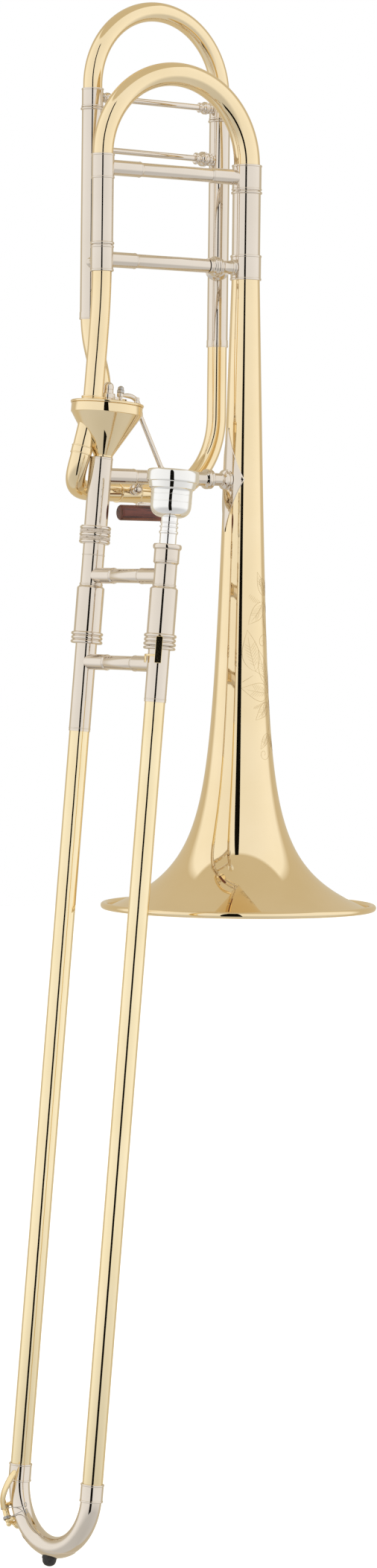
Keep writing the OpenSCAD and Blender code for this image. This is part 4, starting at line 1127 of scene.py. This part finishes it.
def build_mouthpiece():
    z0, z1, r = measure("mouthpiece", UPPER)
    shank = max(p.z for p in points("mouthpiece_receiver", UPPER))
    cup_foot, body, bore = shank + 20.0, shank + 28.6, 3.4
    line = [(bore, z0), (5.5, z0), (6.35, shank), (6.35, shank + 6.4)] + bulge(shank + 8.8, 6.45, 1.1, 0.75)
    line += [(6.3, shank + 11.2)] + bulge(shank + 13.0, 6.2, 0.8, 0.85)
    line += [(6.1, shank + 14.6)] + bulge(shank + 16.0, 6.15, 0.8, 0.75) + [(6.3, shank + 17.6)]
    line += arc(6.5, body, 8.9, body - cup_foot, -90, 0, 12)
    line += bulge(body + 3.2, 15.45, 0.35, 0.12, 6) + bulge(body + 8.6, 15.45, 0.35, 0.12, 6)
    line += [(15.5, body + 11.4), (15.9, body + 12.4), (17.2, body + 13.3)]
    line += [(r - 1.5, z1 - 9.4), (r - 0.35, z1 - 8.9), (r, z1 - 7.9)] + arc(r - 2, z1 - 3, 2, 3, 0, 90, 8)
    line += arc(14.6, z1 - 1.9, 1.9, 1.9, 90, 180, 8) + arc(3.6, z1 - 8, 8.9, -17, 0, 90, 12)
    line += [(bore, z1 - 27), (bore, z1 - 40)]
    piece("mouthpiece_body", "mouthpiece", "silver_plate", [lathe(line, UPPER, 160)], "mouthpiece")


def build_thumb_lever():
    """Rosewood grip, the barrel on the receiver brace, and the stem and saddle between them."""
    low, high = box("thumb_grip")
    middle, r, length, edge = (low + high) / 2, (high.z - low.z) / 2, high.x - low.x, 1.4
    line = [(0, 0)] + arc(r - edge, edge, edge, edge, -90, 0, 6)
    line += arc(r - edge, length - edge, edge, edge, 0, 90, 6) + [(0, length)]
    grip = axes((low.x, middle.y, middle.z), (1, 0, 0), UP)
    piece("thumb_grip_wood", "thumb_lever", "rosewood", [lathe(line, grip, 64)], "thumb_grip")

    axis = pivot("thumb_lever_swing")
    barrel = [(5.5, -8), (6.7, -8)] + bulge(-7.2, 6.7, 0.8, 0.35) + [(6.7, -6.2), (6.7, 6.2)]
    barrel += bulge(7.2, 6.7, 0.8, 0.35) + [(5.5, 8)]
    stem = Matrix.Translation((axis.x, 0, 0)) @ Matrix.Rotation(radians(90), 4, "X")
    saddle = Matrix.Translation((axis.x, middle.y, middle.z + r - 0.3))
    parts = [lathe(barrel, axes(axis, (1, 0, 0), UP), 64),
             plate(rounded_box((-5, 5), (middle.z + 6.3, axis.z - 5.5), 1.2), 2.2, shifted(stem, z=2.2)),
             plate(rounded_box((-26, 5), (-1.2, 3.8), 1.2), 1.9, saddle)]
    screw = [(0, 0), (1.7, 0), (1.7, 0.6), (1.2, 1.1), (0, 1.3)]
    parts += [lathe(screw, shifted(saddle, x, 1.2, 1.8), 24) for x in (-22, 0)]
    piece("thumb_lever_frame", "thumb_lever", "nickel_silver", parts, "lever_frame")


def build_link():
    """Bent arm from the lever's barrel up over the valve's lid, its pin and its nut."""
    axis = pivot("thumb_lever_swing")
    nut = VALVE.inverted() @ centre(box("link_nut"))
    pin_top = VALVE @ Vector((15, nut.y, measure("rotor_arm", VALVE, 60)[0] + 4.6))
    start, bend = axis + Vector((1, 2.5 - axis.y, 5.5)), Vector((-90.6, 6.1, 382))
    arch = [bend, Vector((-92.2, 6.5, 396.5)), Vector((-96, pin_top.y, pin_top.z + 0.6)), pin_top]
    places = [start.lerp(bend, k / 10) for k in range(10)] + [place for place, _ in curved(arch, 32)]
    radii = [1.9] * (len(places) - 7) + [1.85, 1.75, 1.6, 1.45, 1.35, 1.25, 1.15]
    at = across(pin_top, VALVE_WAY)
    eye = soften([(0, -1.3), (2.7, -1.3), (2.7, 1.4), (0, 1.4)], 0.3)
    foot = [(0, -2.5), (3.0, -2.5), (2.8, 1.0), (2.0, 2.6), (0, 2.6)]
    parts = [bar(places, radii, 32), lathe(eye, at, 40), rod(at, 1.5, -6, 1, 0.15, 32),
             lathe(foot, across(start, bend - start), 32)]
    piece("thumb_link_arm", "thumb_lever", "nickel_silver", parts, "lever_link")
    parts = [plate(arc(0, 0, 3.2, 3.2, 0, 300, 5), 2.4, shifted(at, z=1.65), 0.35),
             ball(shifted(at, z=4.85), 2.4)]
    piece("thumb_link_nut", "thumb_lever", "steel", parts, "link_nut")


# ---------- CAD nodes that stay ----------


def dress_cad():
    """Gives the CAD nodes that stay the same materials as the new pieces."""
    wanted = {s["node"]: s["material_slot"] for s in frame["record"]["subparts"]}
    for name, node in frame["nodes"].items():
        if name in wanted:
            for place in node.material_slots:
                place.material = LOOKS[wanted[name]]


# ---------- Studio ----------

CAMERA = Vector((-1.75615, -2.72504, 0.21909))
CAMERA_RIGHT = Vector((0.8474, -0.5309, 0.0113))
CAMERA_AIM = Vector((0.5309, 0.8466, -0.0373))
LENS_MM, SENSOR_MM = 95.04, 36


def build_camera():
    camera = bpy.data.objects.new("camera", bpy.data.cameras.new("camera"))
    bpy.context.scene.collection.objects.link(camera)
    camera.matrix_world = axes(CAMERA, -CAMERA_AIM, CAMERA_RIGHT)
    camera.data.lens = LENS_MM
    camera.data.sensor_width = SENSOR_MM
    camera.data.clip_end = 100
    bpy.context.scene.camera = camera


def build_world():
    """White tent: bright walls beside the camera, a darker ceiling and back, plain white to the eye."""
    world = bpy.data.worlds.new("studio")
    bpy.context.scene.world = world
    world.use_nodes = True
    tree = world.node_tree

    def maths(kind, *values):
        return add(tree, "Math", "Value", dict(enumerate(values)), operation=kind)

    def step(value, edge, soft):
        slope = maths("MULTIPLY_ADD", value, 1 / soft, -edge / soft)
        return maths("SMOOTH_MIN", maths("MAXIMUM", slope, 0), 1, 0.2)

    split = add(tree, "SeparateXYZ", "X", {"Vector": add(tree, "TexCoord", "Generated", {})}).node
    x, y, z = split.outputs
    to_camera = CAMERA.xy.normalized()
    flat = maths("SQRT", maths("ADD", maths("MULTIPLY", x, x), maths("MULTIPLY", y, y)))
    toward = maths("ADD", maths("MULTIPLY", x, to_camera.x), maths("MULTIPLY", y, to_camera.y))
    facing = maths("DIVIDE", toward, maths("MAXIMUM", flat, 0.001))
    wall = maths("MULTIPLY", step(facing, -0.56, 0.22), maths("SUBTRACT", 1, step(z, 0.81, 0.03)))
    bright = maths("SUBTRACT", 1.03, maths("MULTIPLY", maths("MAXIMUM", facing, 0), 0.09))
    table = step(maths("MULTIPLY", z, -1), 0.2, 0.3)
    bright = maths("MULTIPLY", bright, maths("SUBTRACT", 1, maths("MULTIPLY", table, 0.33)))
    lit = add(tree, "MixRGB", "Color", {"Fac": wall, "Color1": (0.65, 0.58, 0.45, 1), "Color2": bright})
    seen = add(tree, "LightPath", "Is Camera Ray", {})
    shown = add(tree, "MixRGB", "Color", {"Fac": seen, "Color1": lit, "Color2": (1, 1, 1, 1)})
    feed(tree, tree.nodes["Background"], {"Color": shown, "Strength": 1})


def stage_quad(name, corners, material):
    mesh = bpy.data.meshes.new(name)
    mesh.from_pydata([Vector(c) for c in corners], [], [(0, 1, 2, 3)])
    mesh.materials.append(material)
    obj = bpy.data.objects.new(name, mesh)
    bpy.context.scene.collection.objects.link(obj)
    return obj


def build_floor():
    """Pale floor where the bumper comes to with the hand slide out at its full travel."""
    z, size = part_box("bumper")[0].z - joints["hand_slide"]["range_m"][1], 14
    look = dress(new_material("studio_floor")[0], {"Base Color": (0.93, 0.93, 0.94, 1), "Roughness": 0.7,
                                                   "Emission Color": (1, 1, 1, 1), "Emission Strength": 0.5})
    corners = [(-size, -size, z), (size, -size, z), (size, size, z), (-size, size, z)]
    stage_quad("floor", corners, look).visible_glossy = False


def build_gap_card():
    """Dark gap between the tent's walls, for the black line down each tube. The camera doesn't see it."""
    look = dress(new_material("gap_card")[0], {"Base Color": (0.006, 0.006, 0.005, 1), "Roughness": 1.0,
                                               "Specular IOR Level": 0})
    place = Vector((-0.625, -0.789, 0))
    side = Vector((-place.y, place.x, 0)).normalized()
    corners = [place + side * half + UP * z
               for half, z in ((-0.175, -0.85), (0.175, -0.85), (0.085, 1.53), (-0.085, 1.53))]
    stage_quad("gap_card", corners, look).visible_camera = False


def build_lamp():
    lamp = bpy.data.lights.new("soft_top", "AREA")
    lamp.energy = 6
    lamp.size = 2.5
    light = bpy.data.objects.new("soft_top", lamp)
    light.location = (-0.6, -0.8, 3.0)
    light.rotation_euler = (radians(15), radians(-10), 0)
    light.visible_glossy = False
    bpy.context.scene.collection.objects.link(light)
    bpy.context.scene.view_settings.view_transform = "Standard"


# ---------- All of it ----------


def build():
    build_bell()
    build_bell_flange()
    build_engraving()
    build_bell_tube()
    build_tuning_brace()
    build_bell_brace()
    build_receiver_brace()
    build_neck()
    build_valve()
    build_valve_stops()
    build_rotor_top()
    build_f_legs()
    end, along = build_f_bend()
    build_f_return(end, along)
    build_f_post(end, along)
    build_tuning_slide()
    build_f_slide()
    build_receiver()
    build_mouthpiece_socket()
    build_cork_barrels()
    height = centre(points("inner_brace", LOWER)).z
    slide_brace("inner_brace_tube", "bell_section", height, 8.1, "inner_brace")
    build_lock_nut()
    build_slide_lock()
    build_lock_catch()
    build_outer_slide()
    foot = min(p.z for p in points("outer_brace", LOWER))
    slide_brace("outer_brace_tube", "outer_slide", foot + SLEEVE_R, 7.9, "outer_brace")
    build_slide_crook()
    build_guard()
    build_water_key()
    build_saddle()
    build_springs()
    build_mouthpiece()
    build_thumb_lever()
    build_link()
    dress_cad()
    build_camera()
    build_world()
    build_floor()
    build_gap_card()
    build_lamp()


build()
